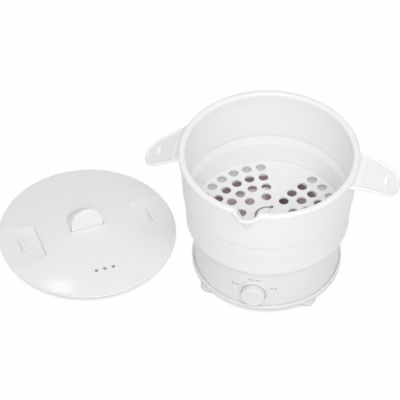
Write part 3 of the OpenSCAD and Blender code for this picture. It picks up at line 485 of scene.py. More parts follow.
def turned(profile, steps=128):
    """A closed mesh: the (radius, height) points of a profile turned about the upright axis."""
    shape = bmesh.new()
    rings = []
    for radius, height in profile:
        ring = []
        for i in range(steps if radius > AXIS_R else 1):
            angle = 2 * math.pi * i / steps
            ring.append(shape.verts.new(metres(radius * math.cos(angle), radius * math.sin(angle), height)))
        rings.append(ring)
    for lower, upper in zip(rings, rings[1:] + rings[:1]):
        for i in range(steps):
            corners = [lower[i % len(lower)], lower[(i + 1) % len(lower)]]
            corners += [upper[(i + 1) % len(upper)], upper[i % len(upper)]]
            corners = list(dict.fromkeys(corners))
            if len(corners) > 2:
                shape.faces.new(corners)
    return closed_mesh(shape)


def joined(shape, first, second):
    """Faces between two closed rings with the same number of points."""
    for i in range(len(first)):
        j = (i + 1) % len(first)
        shape.faces.new((first[i], first[j], second[j], second[i]))


def prism(outline, low, high, top=None):
    """A closed mesh from a low outline to a like one at the top, at levels which may vary by place."""
    shape = bmesh.new()
    rings = []
    for loop, level in ((outline, low), (top or outline, high)):
        ring = []
        for x, y in loop:
            height = level(x, y) if callable(level) else level
            ring.append(shape.verts.new(metres(x, y, height)))
        rings.append(ring)
    joined(shape, *rings)
    shape.faces.new(rings[0][::-1])
    shape.faces.new(rings[1])
    return closed_mesh(shape)


def cut_with(piece, shapes, operation="DIFFERENCE"):
    """Cuts closed meshes out of a piece, or joins them to it."""
    tools = [in_scene("tool", shape) for shape in shapes]
    for tool in tools:
        boolean = piece.modifiers.new("cut", "BOOLEAN")
        boolean.operation = operation
        boolean.solver = "EXACT"
        boolean.object = tool
    finished(piece)
    for tool in tools:
        bpy.data.objects.remove(tool)


dial_low, dial_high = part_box("dial_collar")
dial_z = (dial_low.z + dial_high.z) / 2
collar_r = (dial_high.x - dial_low.x) / 2 / MM
collar_mesh = turned(arc_corners([
    (collar_r - COLLAR_W, 0, 0), (collar_r, 0, 0), (collar_r, COLLAR_T, COLLAR_EDGE),
    (collar_r - COLLAR_W, COLLAR_T, COLLAR_EDGE)
]))
collar_mesh.transform(Matrix.Translation((0, dial_high.y, dial_z)) @ TIPPED)
collar = placed("dial_ring", collar_mesh, BASE_WHITE)
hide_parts("dial_collar")
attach(collar, "base")

KNOB_WHITE = moulded(
    "gloss_white_knob", (0.87, 0.87, 0.868), (0.855, 0.855, 0.853), (0.2, 0.28), bump=0.03, coat=0.25
)
knob_low, knob_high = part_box("knob")
knob_r = (knob_high.x - knob_low.x) / 2 / MM
knob_l = (knob_high.y - knob_low.y) / MM
knob_face_r = knob_r - KNOB_TAPER - KNOB_EDGE - KNOB_LAND
knob_mesh = turned(arc_corners([
    (0, KNOB_HOLLOW, 0), (knob_r - KNOB_WALL, KNOB_HOLLOW, 0), (knob_r - KNOB_WALL, 0, KNOB_FOOT_IN),
    (knob_r, 0, KNOB_FOOT_OUT), (knob_r - KNOB_TAPER, knob_l, KNOB_EDGE), (knob_face_r, knob_l, DISH_EDGE),
    (knob_face_r - DISH_SLOPE, knob_l - KNOB_DISH, DISH_EDGE), (0, knob_l - KNOB_DISH, 0)
]))
knob = placed("dial_knob", knob_mesh, KNOB_WHITE)
pointer = prism(arc_corners([
    (-POINTER_HALF, POINTER_IN, POINTER_CORNER), (POINTER_HALF, POINTER_IN, POINTER_CORNER),
    (POINTER_HALF, POINTER_OUT, POINTER_CORNER), (-POINTER_HALF, POINTER_OUT, POINTER_CORNER)
], steps=4), knob_l - POINTER_DEPTH, knob_l + POINTER_OVER)
pointer.transform(Matrix.Rotation(POINTER_TURN, 4, "Z"))
cut_with(knob, [pointer])
rounded_edges(knob, width=0.15, angle=50)
knob.data.transform(Matrix.Translation((0, knob_high.y, dial_z)) @ TIPPED)
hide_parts("knob")
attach(knob, "dial")


# Dial marks: plain numbers for off, low and high with a short bar beside each, printed in grey ink
# on the housing's wall round the dial.
INK = moulded("grey_ink", (0.30, 0.30, 0.31), (0.26, 0.26, 0.27), (0.5, 0.6), bump=0.02)
INK_T = 0.06
WALL_R = 74.0
MARK_H, CAPITAL_SHARE = 3.0, 0.72
BAR_H, BAR_PARTS = 0.7, 6
SIDE_X, SIDE_Z, TOP_Z = 22.2, 5.4, 16.6
SIDE_BAR, TOP_BAR = (15.6, 20.0), (1.9, 6.2)
INK_MERGE = 0.005


def number_mesh(text, x, z):
    """A numeral as a thin flat solid, with its middle at a place on the unrolled wall."""
    curve = bpy.data.curves.new("numeral", "FONT")
    curve.body = text
    curve.size = MARK_H / CAPITAL_SHARE * MM
    curve.align_x = "CENTER"
    curve.extrude = INK_T * MM
    holder = in_scene("numeral", curve)
    mesh = evaluated(holder)
    bpy.data.objects.remove(holder)
    mesh.transform(Matrix.Translation(metres(x, z - MARK_H / 2, 0)))
    return mesh


def bar_mesh(x0, x1, z):
    """A short printed bar, in pieces that can bend round the wall."""
    low, high = z - BAR_H / 2, z + BAR_H / 2
    across = [x0 + (x1 - x0) * k / BAR_PARTS for k in range(BAR_PARTS + 1)]
    return prism([(x, low) for x in across] + [(x, high) for x in across[::-1]], -INK_T, INK_T)


printed = [number_mesh(*mark) for mark in (("0", -SIDE_X, SIDE_Z), ("1", 0.0, TOP_Z), ("2", SIDE_X, SIDE_Z))]
for (near, far), z in ((SIDE_BAR, SIDE_Z), (TOP_BAR, TOP_Z)):
    printed += [bar_mesh(-far, -near, z), bar_mesh(near, far, z)]
marks = bmesh.new()
for part in printed:
    marks.from_mesh(part)
bmesh.ops.remove_doubles(marks, verts=marks.verts, dist=INK_MERGE * MM)
for vert in marks.verts:
    x, z, out = vert.co / MM
    angle = x / WALL_R
    reach = (WALL_R + out) * MM
    vert.co = (reach * math.sin(angle), -reach * math.cos(angle), z * MM + dial_z)
print_marks = placed("dial_marks", closed_mesh(marks), INK)
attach(print_marks, "base")


# Bowl: white food silicone, moulded in one piece with a flat foot, a lower tier, a soft crease, an upper
# tier, a round rim bead and a pouring lip at the front. The lower tier turns inside out to fold the pot.
SILICONE = moulded(
    "matt_white_silicone", (0.95, 0.948, 0.956), (0.94, 0.938, 0.946), (0.42, 0.55), clouds=12, grain=1800,
    bump=0.02, soft=0.3
)
RIM_R, POT_H = 90.0, 153.0
WALL_TOP_R = 88.0
FOOT_HOLE_R, FOOT_LOW, FOOT_TOP, FOOT_SOFT = 61, 57, 59.5, 0.4
# The section's corners, each with its distance from the axis, its height and its rounding.
LOWER_TIER_OUT = ((82.2, FOOT_LOW, 8), (82.4, 78, 20), (84.0, 91, 15))
CREASE_OUT = ((84.1, 100.6, 0.5), (85.7, 103.6, 0.5))
RIM_BEAD = ((WALL_TOP_R, 147.4, 2.5), (RIM_R, 147.6, 2.4), (RIM_R, POT_H, 2.45), (83.1, POT_H, 2.9))
UPPER_TIER_IN = (83.5, 138, 25)
CREASE_IN = ((82.0, 98.2, 4), (82.5, 95.0, 1.4))
LOWER_TIER_IN = ((80.1, 85.5, 12), (79.7, FOOT_TOP, 5.5))
LIP_CENTRE = 84.0
LIP_LOW, LIP_HIGH = 130.0, 149.0
LIP_TOE, LIP_MOUTH = 2.0, 12.6
LIP_CURVE = 1.5
LIP_THIN = 0.6
LIP_FILLET = 7.0
LIP_DIP, LIP_RUN = 2.2, 9
LIP_TURN = math.radians(-2.3)
LIP_SPAN, LIP_STEP, ROUND_STEP = 18, 0.5, 2
LONGEST_STEP = 3.0
BOWL_TURN = Matrix.Rotation(math.radians(-1.9), 4, "Z")
bowl_profile = arc_corners([
    (FOOT_HOLE_R, FOOT_LOW, FOOT_SOFT), *LOWER_TIER_OUT, *CREASE_OUT, *RIM_BEAD, UPPER_TIER_IN, *CREASE_IN,
    *LOWER_TIER_IN, (FOOT_HOLE_R, FOOT_TOP, FOOT_SOFT)
])


def finely(points):
    """The same closed outline with no step longer than the longest that bends well."""
    fine = []
    for here, after in zip(points, points[1:] + points[:1]):
        parts = max(1, math.ceil(math.dist(here, after) / LONGEST_STEP))
        for k in range(parts):
            fine.append([a + (b - a) * k / parts for a, b in zip(here, after)])
    return fine


def lip_reach(turn, radius, lip_r):
    """Distance from the axis of a wall of that radius which runs smoothly out round the lip."""
    across = LIP_CENTRE * math.sin(turn - LIP_TURN)
    if abs(across) >= lip_r or math.cos(turn) < 0:
        return radius
    out = LIP_CENTRE * math.cos(turn - LIP_TURN) + math.sqrt(lip_r * lip_r - across * across)
    near = max(LIP_FILLET - abs(out - radius), 0) / LIP_FILLET
    return max(out, radius) + near * near * LIP_FILLET / 4


def bowl_mesh():
    """The bowl's wall, as rings of points that follow the profile round the pot, finest at the lip."""
    turns = [k * LIP_STEP - LIP_SPAN for k in range(round(2 * LIP_SPAN / LIP_STEP))]
    turns += range(LIP_SPAN, 360 - LIP_SPAN, ROUND_STEP)
    shape = bmesh.new()
    columns = []
    for turn in map(math.radians, turns):
        column = []
        for radius, height in finely(bowl_profile):
            share = min(max((height - LIP_LOW) / (LIP_HIGH - LIP_LOW), 0), 1) ** LIP_CURVE
            lip_r = LIP_TOE + (LIP_MOUTH - LIP_TOE) * share + (radius - WALL_TOP_R) * LIP_THIN
            reach = lip_reach(turn, radius, lip_r) if height > LIP_LOW else radius
            dip = LIP_DIP * share * min((reach - radius) / LIP_RUN, 1)
            spot = metres(reach * math.sin(turn), -reach * math.cos(turn), height - dip)
            column.append(shape.verts.new(spot))
        columns.append(column)
    for here, after in zip(columns, columns[1:] + columns[:1]):
        joined(shape, here, after)
    mesh = closed_mesh(shape)
    mesh.transform(BOWL_TURN)
    return mesh


bowl = placed("silicone_bowl", bowl_mesh(), SILICONE, crease=60)
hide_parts("bowl_foot", "bowl_fold", "bowl_upper")
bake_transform(bowl)


# Ears: two silicone tongues that grow out of the upper tier under the rim and bend down by their weight.
# Each has a round border, a sunk panel, two ridges across its root and a slot for the lid's hook.
EAR_SILICONE = moulded(
    "matt_white_ear", (0.96, 0.958, 0.964), (0.95, 0.948, 0.954), (0.42, 0.55), clouds=12, grain=1800,
    bump=0.02
)
EAR_LEN = 41.5
EAR_WALL_R = 86.8
EAR_ROOT_W, EAR_ROOT_IN = 53.0, 11
EAR_TIP_R, EAR_TIP_HALF = 19.5, 1.0
EAR_T = 3.4
SLOT_U = 26.0
SLOT_HALF = (2.0, 7.0)
SLOT_CORNER = 1.9
EAR_PANEL = 0.7
EAR_RIDGES = (-3.6, 3.6)
RIDGE_HALF, RIDGE_ROUND = 1.0, 0.6
EAR_SIDES = {
    "right": {"side": 1, "start": (93.3, 147.0), "bend": (7.0, 34.0), "droop": 20.0},
    "left": {"side": -1, "start": (91.9, 144.8), "bend": (38.5, 29.5), "droop": 35.0},
}
ROOT_STEPS, SIDE_STEPS, TIP_STEPS = 12, 18, 20
# How far in from the outline each ring of points lies, and how high.
EDGE_TOP = (
    (0, -1.7), (0.15, -1.0), (0.5, -0.4), (1.2, 0), (1.9, 0), (2.4, -0.2), (2.8, -0.5), (3.1, -EAR_PANEL)
)
EDGE_LOW = ((0.15, -2.4), (0.5, -3.0), (1.2, -EAR_T))
SLOT_TOP = ((0, -1.2), (0.08, -0.9), (0.25, -0.75), (0.45, -EAR_PANEL))
SLOT_LOW = ((0, -2.9), (0.08, -3.2), (0.25, -3.35), (0.45, -EAR_T))
GRID_FIRST, GRID_ROWS, GRID_Y = -9.6, 20, 1.2
GRID_FINE, GRID_COARSE, GRID_FINE_END, GRID_TIP = 0.4, 1.4, 6, 2
EDGE_CLEAR_U, EDGE_SHIFT_U, EDGE_CLEAR_Y = 0.97, 0.4, 0.96
SLOT_CLEAR_U, SLOT_CLEAR_Y = 1.35, 1.12
SAME_SPOT = 1e-5


def ear_loop(inset):
    """The ear's outline moved inwards, with the same number of points at every inset."""
    root = Vector((inset - EAR_ROOT_IN, EAR_ROOT_W / 2 - inset))
    tip = Vector((EAR_LEN - EAR_TIP_R, EAR_TIP_HALF))
    tip_r = EAR_TIP_R - inset
    run = tip - root
    aim = math.atan2(run.y, run.x) + math.asin(tip_r / run.length)
    side = Vector((math.cos(aim), math.sin(aim))) * math.sqrt(run.length_squared - tip_r * tip_r)
    half = [Vector((root.x, root.y * k / ROOT_STEPS)) for k in range(ROOT_STEPS)]
    half += [root + side * k / SIDE_STEPS for k in range(SIDE_STEPS)]
    for k in range(TIP_STEPS + 1):
        angle = (aim + math.pi / 2) * (1 - k / TIP_STEPS)
        half.append(tip + Vector((math.cos(angle), math.sin(angle))) * tip_r)
    half.append(Vector((EAR_LEN - inset, 0)))
    other = [Vector((p.x, -p.y)) for p in half[1:-1]]
    return half + other[::-1]


def slot_loop(grown):
    """The slot's outline, grown, with round ends."""
    a, b = SLOT_HALF[0] + grown, SLOT_HALF[1] + grown
    corner = SLOT_CORNER + grown
    corners = [(SLOT_U - a, -b), (SLOT_U + a, -b), (SLOT_U + a, b), (SLOT_U - a, b)]
    return arc_corners([(u, y, corner) for u, y in corners], steps=5)


def inside(spot, loop):
    """True for a point within a closed outline."""
    crossings = 0
    for a, b in zip(loop, loop[1:] + loop[:1]):
        if (a[1] > spot[1]) != (b[1] > spot[1]):
            crossings += spot[0] < a[0] + (spot[1] - a[1]) / (b[1] - a[1]) * (b[0] - a[0])
    return crossings % 2 == 1


def panel_height(u):
    """Height of the ear's panel below its border, with the two ridges across the root."""
    bumps = [max(0, 1 - ((u - middle) / RIDGE_HALF) ** 2) ** RIDGE_ROUND for middle in EAR_RIDGES]
    return EAR_PANEL * (max(bumps) - 1)


def ear_place(ear, u, y, n):
    """Where a point of the flat ear comes to lie when the ear is bent and joined to the bowl's wall."""
    first, last = [math.radians(angle) for angle in ear["bend"]]
    curve = (last - first) / EAR_LEN
    run = max(u, 0)
    angle = first + curve * run
    r = ear["start"][0] + (math.sin(angle) - math.sin(first)) / curve + (u - run) * math.cos(first)
    z = ear["start"][1] + (math.cos(angle) - math.cos(first)) / curve - (u - run) * math.sin(first)
    r = max(r + n * math.sin(angle), math.sqrt(EAR_WALL_R ** 2 - y * y))
    return BOWL_TURN @ Vector(metres(ear["side"] * r, y, z + n * math.cos(angle)))


def panel_grid(outer_loop, hole_loop):
    """Points within an ear's face, clear of its edge and its slot, closer together at the ridges."""
    inner = [(u * EDGE_CLEAR_U + EDGE_SHIFT_U, y * EDGE_CLEAR_Y) for u, y in outer_loop]
    wide = [(SLOT_U + (u - SLOT_U) * SLOT_CLEAR_U, y * SLOT_CLEAR_Y) for u, y in hole_loop]
    spots = []
    u = GRID_FIRST
    while u < EAR_LEN - GRID_TIP:
        for k in range(-GRID_ROWS, GRID_ROWS + 1):
            spot = (u, k * GRID_Y)
            if inside(spot, inner) and not inside(spot, wide):
                spots.append(Vector(spot))
        u += GRID_FINE if u < GRID_FINE_END else GRID_COARSE
    return spots


def ear_mesh(ear):
    """One ear: rings for its round edges and its slot, and filled faces above and below."""
    shape = bmesh.new()

    def rings(loop_at, steps):
        return [[shape.verts.new(ear_place(ear, u, y, n)) for u, y in loop_at(step)] for step, n in steps]

    def filled(outer, outer_loop, hole, hole_loop, height):
        n, m = len(outer_loop), len(hole_loop)
        edges = [(i, (i + 1) % n) for i in range(n)] + [(n + i, n + (i + 1) % m) for i in range(m)]
        flat = [Vector(p) for p in outer_loop + hole_loop] + panel_grid(outer_loop, hole_loop)
        known = dict(enumerate(outer + hole))
        spots, _, faces, sources, _, _ = delaunay_2d_cdt(flat, edges, [], 1, SAME_SPOT)
        corners = []
        for spot, source in zip(spots, sources):
            old = known.get(source[0]) if source else None
            corners.append(old or shape.verts.new(ear_place(ear, spot.x, spot.y, height(spot.x))))
        for face in faces:
            middle = sum((spots[i] for i in face), Vector((0, 0))) / len(face)
            if inside(middle, outer_loop) and not inside(middle, hole_loop):
                shape.faces.new([corners[i] for i in face])

    top_rings = rings(ear_loop, EDGE_TOP)
    low_rings = top_rings[:1] + rings(ear_loop, EDGE_LOW)
    top_hole = rings(slot_loop, SLOT_TOP)
    low_hole = top_hole[:1] + rings(slot_loop, SLOT_LOW)
    for group in (top_rings, low_rings, top_hole, low_hole):
        for first, second in zip(group, group[1:]):
            joined(shape, first, second)
    mouth = slot_loop(SLOT_TOP[-1][0])
    filled(top_rings[-1], ear_loop(EDGE_TOP[-1][0]), top_hole[-1], mouth, panel_height)
    filled(low_rings[-1], ear_loop(EDGE_LOW[-1][0]), low_hole[-1], mouth, lambda u: -EAR_T)
    return closed_mesh(shape)


for word, ear in EAR_SIDES.items():
    piece = placed("silicone_ear_" + word, ear_mesh(ear), EAR_SILICONE, crease=50)
    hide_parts("ear_" + word)
    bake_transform(piece)


# Steamer tray: a white polypropylene disc that lies on the pan's flange. It has a raised edge,
# three sectors of round steam holes between solid spokes, and a slot round the lift tongue at its middle.
TRAY_WHITE = moulded("satin_white_tray", (0.835, 0.835, 0.835), (0.82, 0.82, 0.82), (0.3, 0.42), bump=0.05)
TRAY_EDGE_H, TRAY_EDGE_W, TRAY_EDGE_SLOPE = 0.9, 1.8, 0.4
TRAY_T = 2.0
TRAY_BEVEL, TRAY_BEVEL_SOFT = 1.7, 0.4
TRAY_EDGE_OUT, TRAY_EDGE_IN, TRAY_EDGE_FOOT = 0.8, 0.7, 0.5
TRAY_SIDES = 144
SPOKE = 82.3
HOLE_SECTORS = 3
# The holes of each ring in one sector, and the degrees from one to the next.
HOLE_RINGS = ((3, 39.8), (5, 20.2), (6, 15.1), (7, 12.2))
HOLE_R, FIRST_RING, RING_PITCH = 5.1, 26.8, 14.2
HOLE_SIDES = 32
TONGUE_R, TONGUE_SLOT, TONGUE_END_R = 11.0, 2.3, 2.2


def perforations():
    """Geometry nodes that cut rings of steam holes in sectors out of a disc."""
    tree, given = shape_tree(
        "steam_holes", "Hole radius", "First ring", "Ring pitch", "Height", "Spoke angle"
    )
    places = tree.nodes.new("GeometryNodeJoinGeometry")
    index = node(tree, "GeometryNodeInputIndex", {})
    for number, (count, step) in enumerate(HOLE_RINGS):
        sector = calc(tree, "FLOOR", calc(tree, "DIVIDE", calc(tree, "ADD", index, 0.5), count))
        place = calc(tree, "SUBTRACT", index, calc(tree, "MULTIPLY", sector, count))
        start = calc(tree, "MULTIPLY", calc(tree, "ADD", sector, 0.5), 2 * math.pi / HOLE_SECTORS)
        shift = calc(tree, "MULTIPLY", calc(tree, "SUBTRACT", place, (count - 1) / 2), math.radians(step))
        angle = calc(tree, "ADD", calc(tree, "ADD", start, shift), given["Spoke angle"])
        radius = calc(tree, "ADD", given["First ring"], calc(tree, "MULTIPLY", given["Ring pitch"], number))
        ring = node(tree, "GeometryNodePoints", {
            "Count": count * HOLE_SECTORS, "Position": polar(tree, radius, angle, given["Height"])
        })
        tree.links.new(ring, places.inputs["Geometry"])
    punch = node(tree, "GeometryNodeMeshCylinder", {
        "Vertices": HOLE_SIDES, "Radius": given["Hole radius"], "Depth": 4 * TRAY_T * MM
    })
    punches = node(tree, "GeometryNodeInstanceOnPoints", {"Points": places.outputs[0], "Instance": punch})
    solid = node(tree, "GeometryNodeRealizeInstances", {"Geometry": punches})
    return ended(tree, combined(tree, "DIFFERENCE", given["Geometry"], solid), given["Material"])


def arc(middle, radius, steps, first=0.0, sweep=math.pi):
    """Points evenly along a part of a circle, with both its ends."""
    angles = [first + sweep * k / steps for k in range(steps + 1)]
    return [(middle[0] + radius * math.cos(a), middle[1] + radius * math.sin(a)) for a in angles]


def circle(middle, radius, steps):
    """A closed round outline."""
    return arc(middle, radius, steps, sweep=2 * math.pi)[:-1]


tray_low, tray_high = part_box("steamer_tray")
tray_r = (tray_high.x - tray_low.x) / 2 / MM
tray_top = tray_high.z / MM - TRAY_EDGE_H
tray_foot = tray_low.z / MM
tray_profile = arc_corners([
    (0, tray_foot, 0), (tray_r - TRAY_BEVEL, tray_foot, TRAY_BEVEL_SOFT),
    (tray_r, tray_foot + TRAY_BEVEL, TRAY_BEVEL_SOFT), (tray_r, tray_top + TRAY_EDGE_H, TRAY_EDGE_OUT),
    (tray_r - TRAY_EDGE_W, tray_top + TRAY_EDGE_H, TRAY_EDGE_IN),
    (tray_r - TRAY_EDGE_W - TRAY_EDGE_SLOPE, tray_top, TRAY_EDGE_FOOT), (0, tray_top, 0)
])
tray = placed("tray_disc", turned(tray_profile, TRAY_SIDES), TRAY_WHITE)
slot_r = TONGUE_R + TONGUE_SLOT
slot_parts = [arc((0, 0), slot_r, steps=24, first=math.pi / 2)]
slot_parts += [circle((0, end * slot_r), TONGUE_END_R, steps=20) for end in (-1, 1)]
slot_cuts = [prism(part, tray_top - 2 * TRAY_T, tray_top + TRAY_T) for part in slot_parts]
for slot_cut in slot_cuts:
    slot_cut.transform(Matrix.Rotation(math.radians(SPOKE - 90), 4, "Z"))
cut_with(tray, slot_cuts)
holes = tray.modifiers.new("holes", "NODES")
holes.node_group = perforations()
set_inputs(holes, {
    "Hole radius": HOLE_R * MM, "First ring": FIRST_RING * MM, "Ring pitch": RING_PITCH * MM,
    "Height": (tray_top - TRAY_T / 2) * MM, "Spoke angle": math.radians(SPOKE), "Material": TRAY_WHITE
})
finished(tray)
tray.data.set_sharp_from_angle(angle=math.radians(CREASE))
rounded_edges(tray, width=0.35, angle=50)
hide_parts("steamer_tray")
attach(tray, "tray")
softened("tray_tongue", "tray_lift_tab", "tray_tongue", TRAY_WHITE, edge=0.4)


# Lid: a shallow dome of glossy white plastic with a locating skirt under it. It has a recess and a hook
# for each ear, three steam holes, and a lay-down recess behind the finger tab. It lies on the table.
LID_WHITE = moulded(
    "gloss_white_lid", (0.885, 0.885, 0.885), (0.87, 0.87, 0.87), (0.2, 0.26), clouds=9, grain=700,
    bump=0.012, coat=0.4
)
LID_X, LID_Y, LID_TURN = -187, -6.2, math.radians(30.5)
LID_PLACE = Matrix.Translation(metres(LID_X, LID_Y, 0)) @ Matrix.Rotation(LID_TURN, 4, "Z")
LID_R, LID_T, LID_RISE, LID_EDGE_Z = 91.7, 2.0, 7.5, 8.0
# How far in from the edge, and how far down, the points of the round brim lie.
BRIM_STEPS = ((0.4, 0.05), (0, 0.5), (0, 1.5), (0.4, 1.95))
LID_SIDES, TOP_RINGS, UNDER_RINGS, LID_CREASE = 192, 36, 20, 30
SKIRT_R, SKIRT_T, SKIRT_FILLET, SKIRT_TOE = 82.2, 2.0, 0.6, 0.5
SHELL_MIDDLE = 0.9
RECESS_R, RECESS_HALF, RECESS_CORNER = 50.8, 21.5, 1.5
RECESS_FLARE = math.tan(math.radians(12))
RECESS_WALL, RECESS_WALL_END, RECESS_END = 2.0, 84.0, 96.0
RECESS_DRAFT, POCKET_DRAFT = 1.5, 0.8
HOOK_R, HOOK_T, HOOK_W, HOOK_H = 70.0, 3.0, 15.0, 5.5
HOOK_NOSE, HOOK_LIP, HOOK_THROAT, HOOK_SUNK = 1.6, 1.8, 2.2, 0.5
HOOK_BACK_SOFT, HOOK_NOSE_SOFT, HOOK_LIP_SOFT, HOOK_THROAT_SOFT = 1.2, 0.8, 0.7, 0.4
STEAM_R, STEAM_PITCH, STEAM_HOLE_R = 59.3, 9.0, 1.9
STEAM_LOW, STEAM_OVER = 3, 5
TAB_W, TAB_T, TAB_BACK, TAB_GAP = 34.0, 4.5, 0.5, 0.6
TAB_REACH, TAB_PIVOT_Z = 26.4, 13.1
FOOT_GAP = 0.35
POCKET_WALL, POCKET_FLOOR, POCKET_OVER = 1.4, 1.8, 0.1
dome_r = (LID_R ** 2 + LID_RISE ** 2) / (2 * LID_RISE)
apex = LID_EDGE_Z + LID_RISE
tab_floor = TAB_PIVOT_Z - TAB_T / 2 - TAB_GAP


def dome(radius, down=0.0):
    """Height of the dome's top surface, or of one that lies that far inside it."""
    return apex - dome_r + math.sqrt((dome_r - down) ** 2 - radius ** 2)


def lid_profile():
    """The lid's section: dome, round edge, brim, skirt and the inside of the dome."""
    skirt_in = SKIRT_R - SKIRT_T
    top = [(LID_R * k / TOP_RINGS, dome(LID_R * k / TOP_RINGS)) for k in range(TOP_RINGS)]
    edge = [(LID_R - inset, LID_EDGE_Z - down) for inset, down in BRIM_STEPS]
    skirt = [
        (SKIRT_R + SKIRT_FILLET, dome(SKIRT_R, LID_T)), (SKIRT_R, dome(SKIRT_R, LID_T) - SKIRT_FILLET),
        (SKIRT_R, SKIRT_FILLET), (SKIRT_R - SKIRT_TOE, 0), (skirt_in + SKIRT_TOE, 0),
        (skirt_in, SKIRT_FILLET), (skirt_in, dome(skirt_in, LID_T) - SKIRT_FILLET)
    ]
    spans = [skirt_in * k / UNDER_RINGS for k in range(UNDER_RINGS - 1, -1, -1)]
    return top + edge + skirt + [(span, dome(span, LID_T)) for span in spans]


def tab_outline(grown, front):
    """The folded tab's outline: an arch, grown by a gap, with its foot across the hinge."""
    arch_r = TAB_W / 2 + grown
    low = TAB_BACK - TAB_T / 2 - front
    return [(-arch_r, low), (arch_r, low)] + arc((0, TAB_BACK + TAB_REACH - TAB_W / 2), arch_r, steps=24)


def under_dome(x, y):
    """A level inside the dome's shell, to which added walls rise."""
    return dome(math.hypot(x, y), SHELL_MIDDLE)


def recess_outline(grown, end):
    """An ear recess seen from above, from its inner wall to the given end, wider towards the end."""
    start = RECESS_R - grown
    corner = RECESS_CORNER + grown
    side_out = grown * math.hypot(1, RECESS_FLARE)
    inner = RECESS_HALF + side_out - grown * RECESS_FLARE
    outer = RECESS_HALF + side_out + (end - RECESS_R) * RECESS_FLARE
    return arc_corners([(start, -inner, corner), (end, -outer, 0), (end, outer, 0), (start, inner, corner)])


def on_both_sides(*shape):
    """Two like prisms, one for each ear, on opposite sides of the lid's middle."""
    pair = [prism(*shape), prism(*shape)]
    pair[1].transform(Matrix.Rotation(math.pi, 4, "Z"))
    return pair


lid = placed("lid_dome", turned(lid_profile(), LID_SIDES), LID_WHITE, LID_CREASE)
walls = on_both_sides(recess_outline(RECESS_WALL, RECESS_WALL_END), LID_EDGE_Z - LID_T, under_dome)
pocket_wall = tab_outline(POCKET_DRAFT + POCKET_WALL, TAB_GAP + POCKET_FLOOR)
walls.append(prism(pocket_wall, tab_floor - POCKET_FLOOR, under_dome))
cut_with(lid, walls, "UNION")
recess, recess_mouth = [recess_outline(grown, RECESS_END) for grown in (0, RECESS_DRAFT)]
pocket, pocket_mouth = [tab_outline(TAB_GAP + grown, FOOT_GAP) for grown in (0, POCKET_DRAFT)]
cuts = on_both_sides(recess, LID_EDGE_Z, apex, recess_mouth)
cuts.append(prism(pocket, tab_floor, apex + POCKET_OVER, pocket_mouth))
for place in (-1, 0, 1):
    steam_hole = circle((place * STEAM_PITCH, -STEAM_R), STEAM_HOLE_R, steps=24)
    cuts.append(prism(steam_hole, STEAM_LOW, apex + STEAM_OVER))
cut_with(lid, cuts)
lid.data.set_sharp_from_angle(angle=math.radians(LID_CREASE))
rounded_edges(lid, width=0.6, steps=3, angle=25)
lid.data.transform(LID_PLACE)
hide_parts("lid")
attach(lid, "cover_lid")

hook_out, hook_in = HOOK_R + HOOK_T / 2, HOOK_R - HOOK_T / 2
hook_foot, hook_top = LID_EDGE_Z - HOOK_SUNK, LID_EDGE_Z + HOOK_H
hook_side = arc_corners([
    (hook_out, hook_foot, 0), (hook_out, hook_top, HOOK_BACK_SOFT),
    (hook_in - HOOK_NOSE, hook_top, HOOK_NOSE_SOFT),
    (hook_in - HOOK_NOSE, hook_top - HOOK_LIP, HOOK_LIP_SOFT),
    (hook_in, hook_top - HOOK_THROAT, HOOK_THROAT_SOFT), (hook_in, hook_foot, 0)
], steps=4)
for number, word in enumerate(("right", "left")):
    hook_mesh = prism(hook_side, -HOOK_W / 2, HOOK_W / 2)
    hook_mesh.transform(TIPPED)
    hook_mesh.transform(LID_PLACE @ Matrix.Rotation(math.pi * number, 4, "Z"))
    hook = rounded_edges(placed("lid_hook_" + word, hook_mesh, LID_WHITE), width=0.5, angle=60)
    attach(hook, "cover_lid")


# Finger tab: an arch of the same glossy plastic that stands up on a steel pin across the lid's middle,
# and folds back flush into the recess behind it. Its colour is painted lighter than the lid's white:
# painted light for the light that falls on its front face.
TAB_WHITE_PAINTED_LIGHT = moulded(
    "gloss_white_tab_painted_light", (0.95, 0.95, 0.95), (0.94, 0.94, 0.94), (0.24, 0.3), bump=0.012, coat=0.3
)
arch_outline = [(x, y - TAB_BACK) for x, y in tab_outline(0, 0)]
arch_outline[0:2] = [(-TAB_W / 2, 0), (-TAB_W / 2, -TAB_T / 2), (TAB_W / 2, -TAB_T / 2), (TAB_W / 2, 0)]
tab_mesh = prism(arch_outline, -TAB_T / 2, TAB_T / 2)
tab_mesh.transform(Matrix.Translation(metres(0, TAB_BACK, TAB_PIVOT_Z)) @ TIPPED)
tab_mesh.transform(LID_PLACE)
tab = rounded_edges(placed("finger_tab", tab_mesh, TAB_WHITE_PAINTED_LIGHT), width=0.9, steps=3, angle=50)
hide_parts("lid_tab")
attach(tab, "finger_tab")
dressed("lid_tab_pin", PLAIN_STEEL)


# Studio: a sweep of white paper under soft boxes and an even white sky. The camera stands where the
# photograph was taken from, and looks down at about 45 degrees. Places here are in metres.
PAPER = (0.82, 0.82, 0.82, 1)
PAPER_ROUGHNESS, PAPER_SPECULAR, PAPER_GLOW = 0.9, 0.1, 0.98
SHADOW_REACH = 0.03
SHADOW_EDGES = (0.05, 0.4)
FLOOR_HALF, FLOOR_DROP = 6.0, 0.0002
SKY_LIGHT, SKY_SEEN = 0.53, 1.0
CAMERA_PLACE = (0.2873, -1.8138, 1.9434)
CAMERA_DOWN, CAMERA_ROUND = 45.36, 11.13
LENS, SENSOR = 234, 36
BOUNCE_POWER, BOUNCE_SIZE, BOUNCE_Z = 0.014, 0.03, 0.128


def plainly_seen(tree):
    """A socket that is 1 for rays from the camera, from mirrors and through glass, and 0 for the rest."""
    rays = tree.nodes.new("ShaderNodeLightPath").outputs
    seen = calc(tree, "MAXIMUM", rays["Is Camera Ray"], rays["Is Glossy Ray"])
    return calc(tree, "MAXIMUM", seen, rays["Is Transmission Ray"])


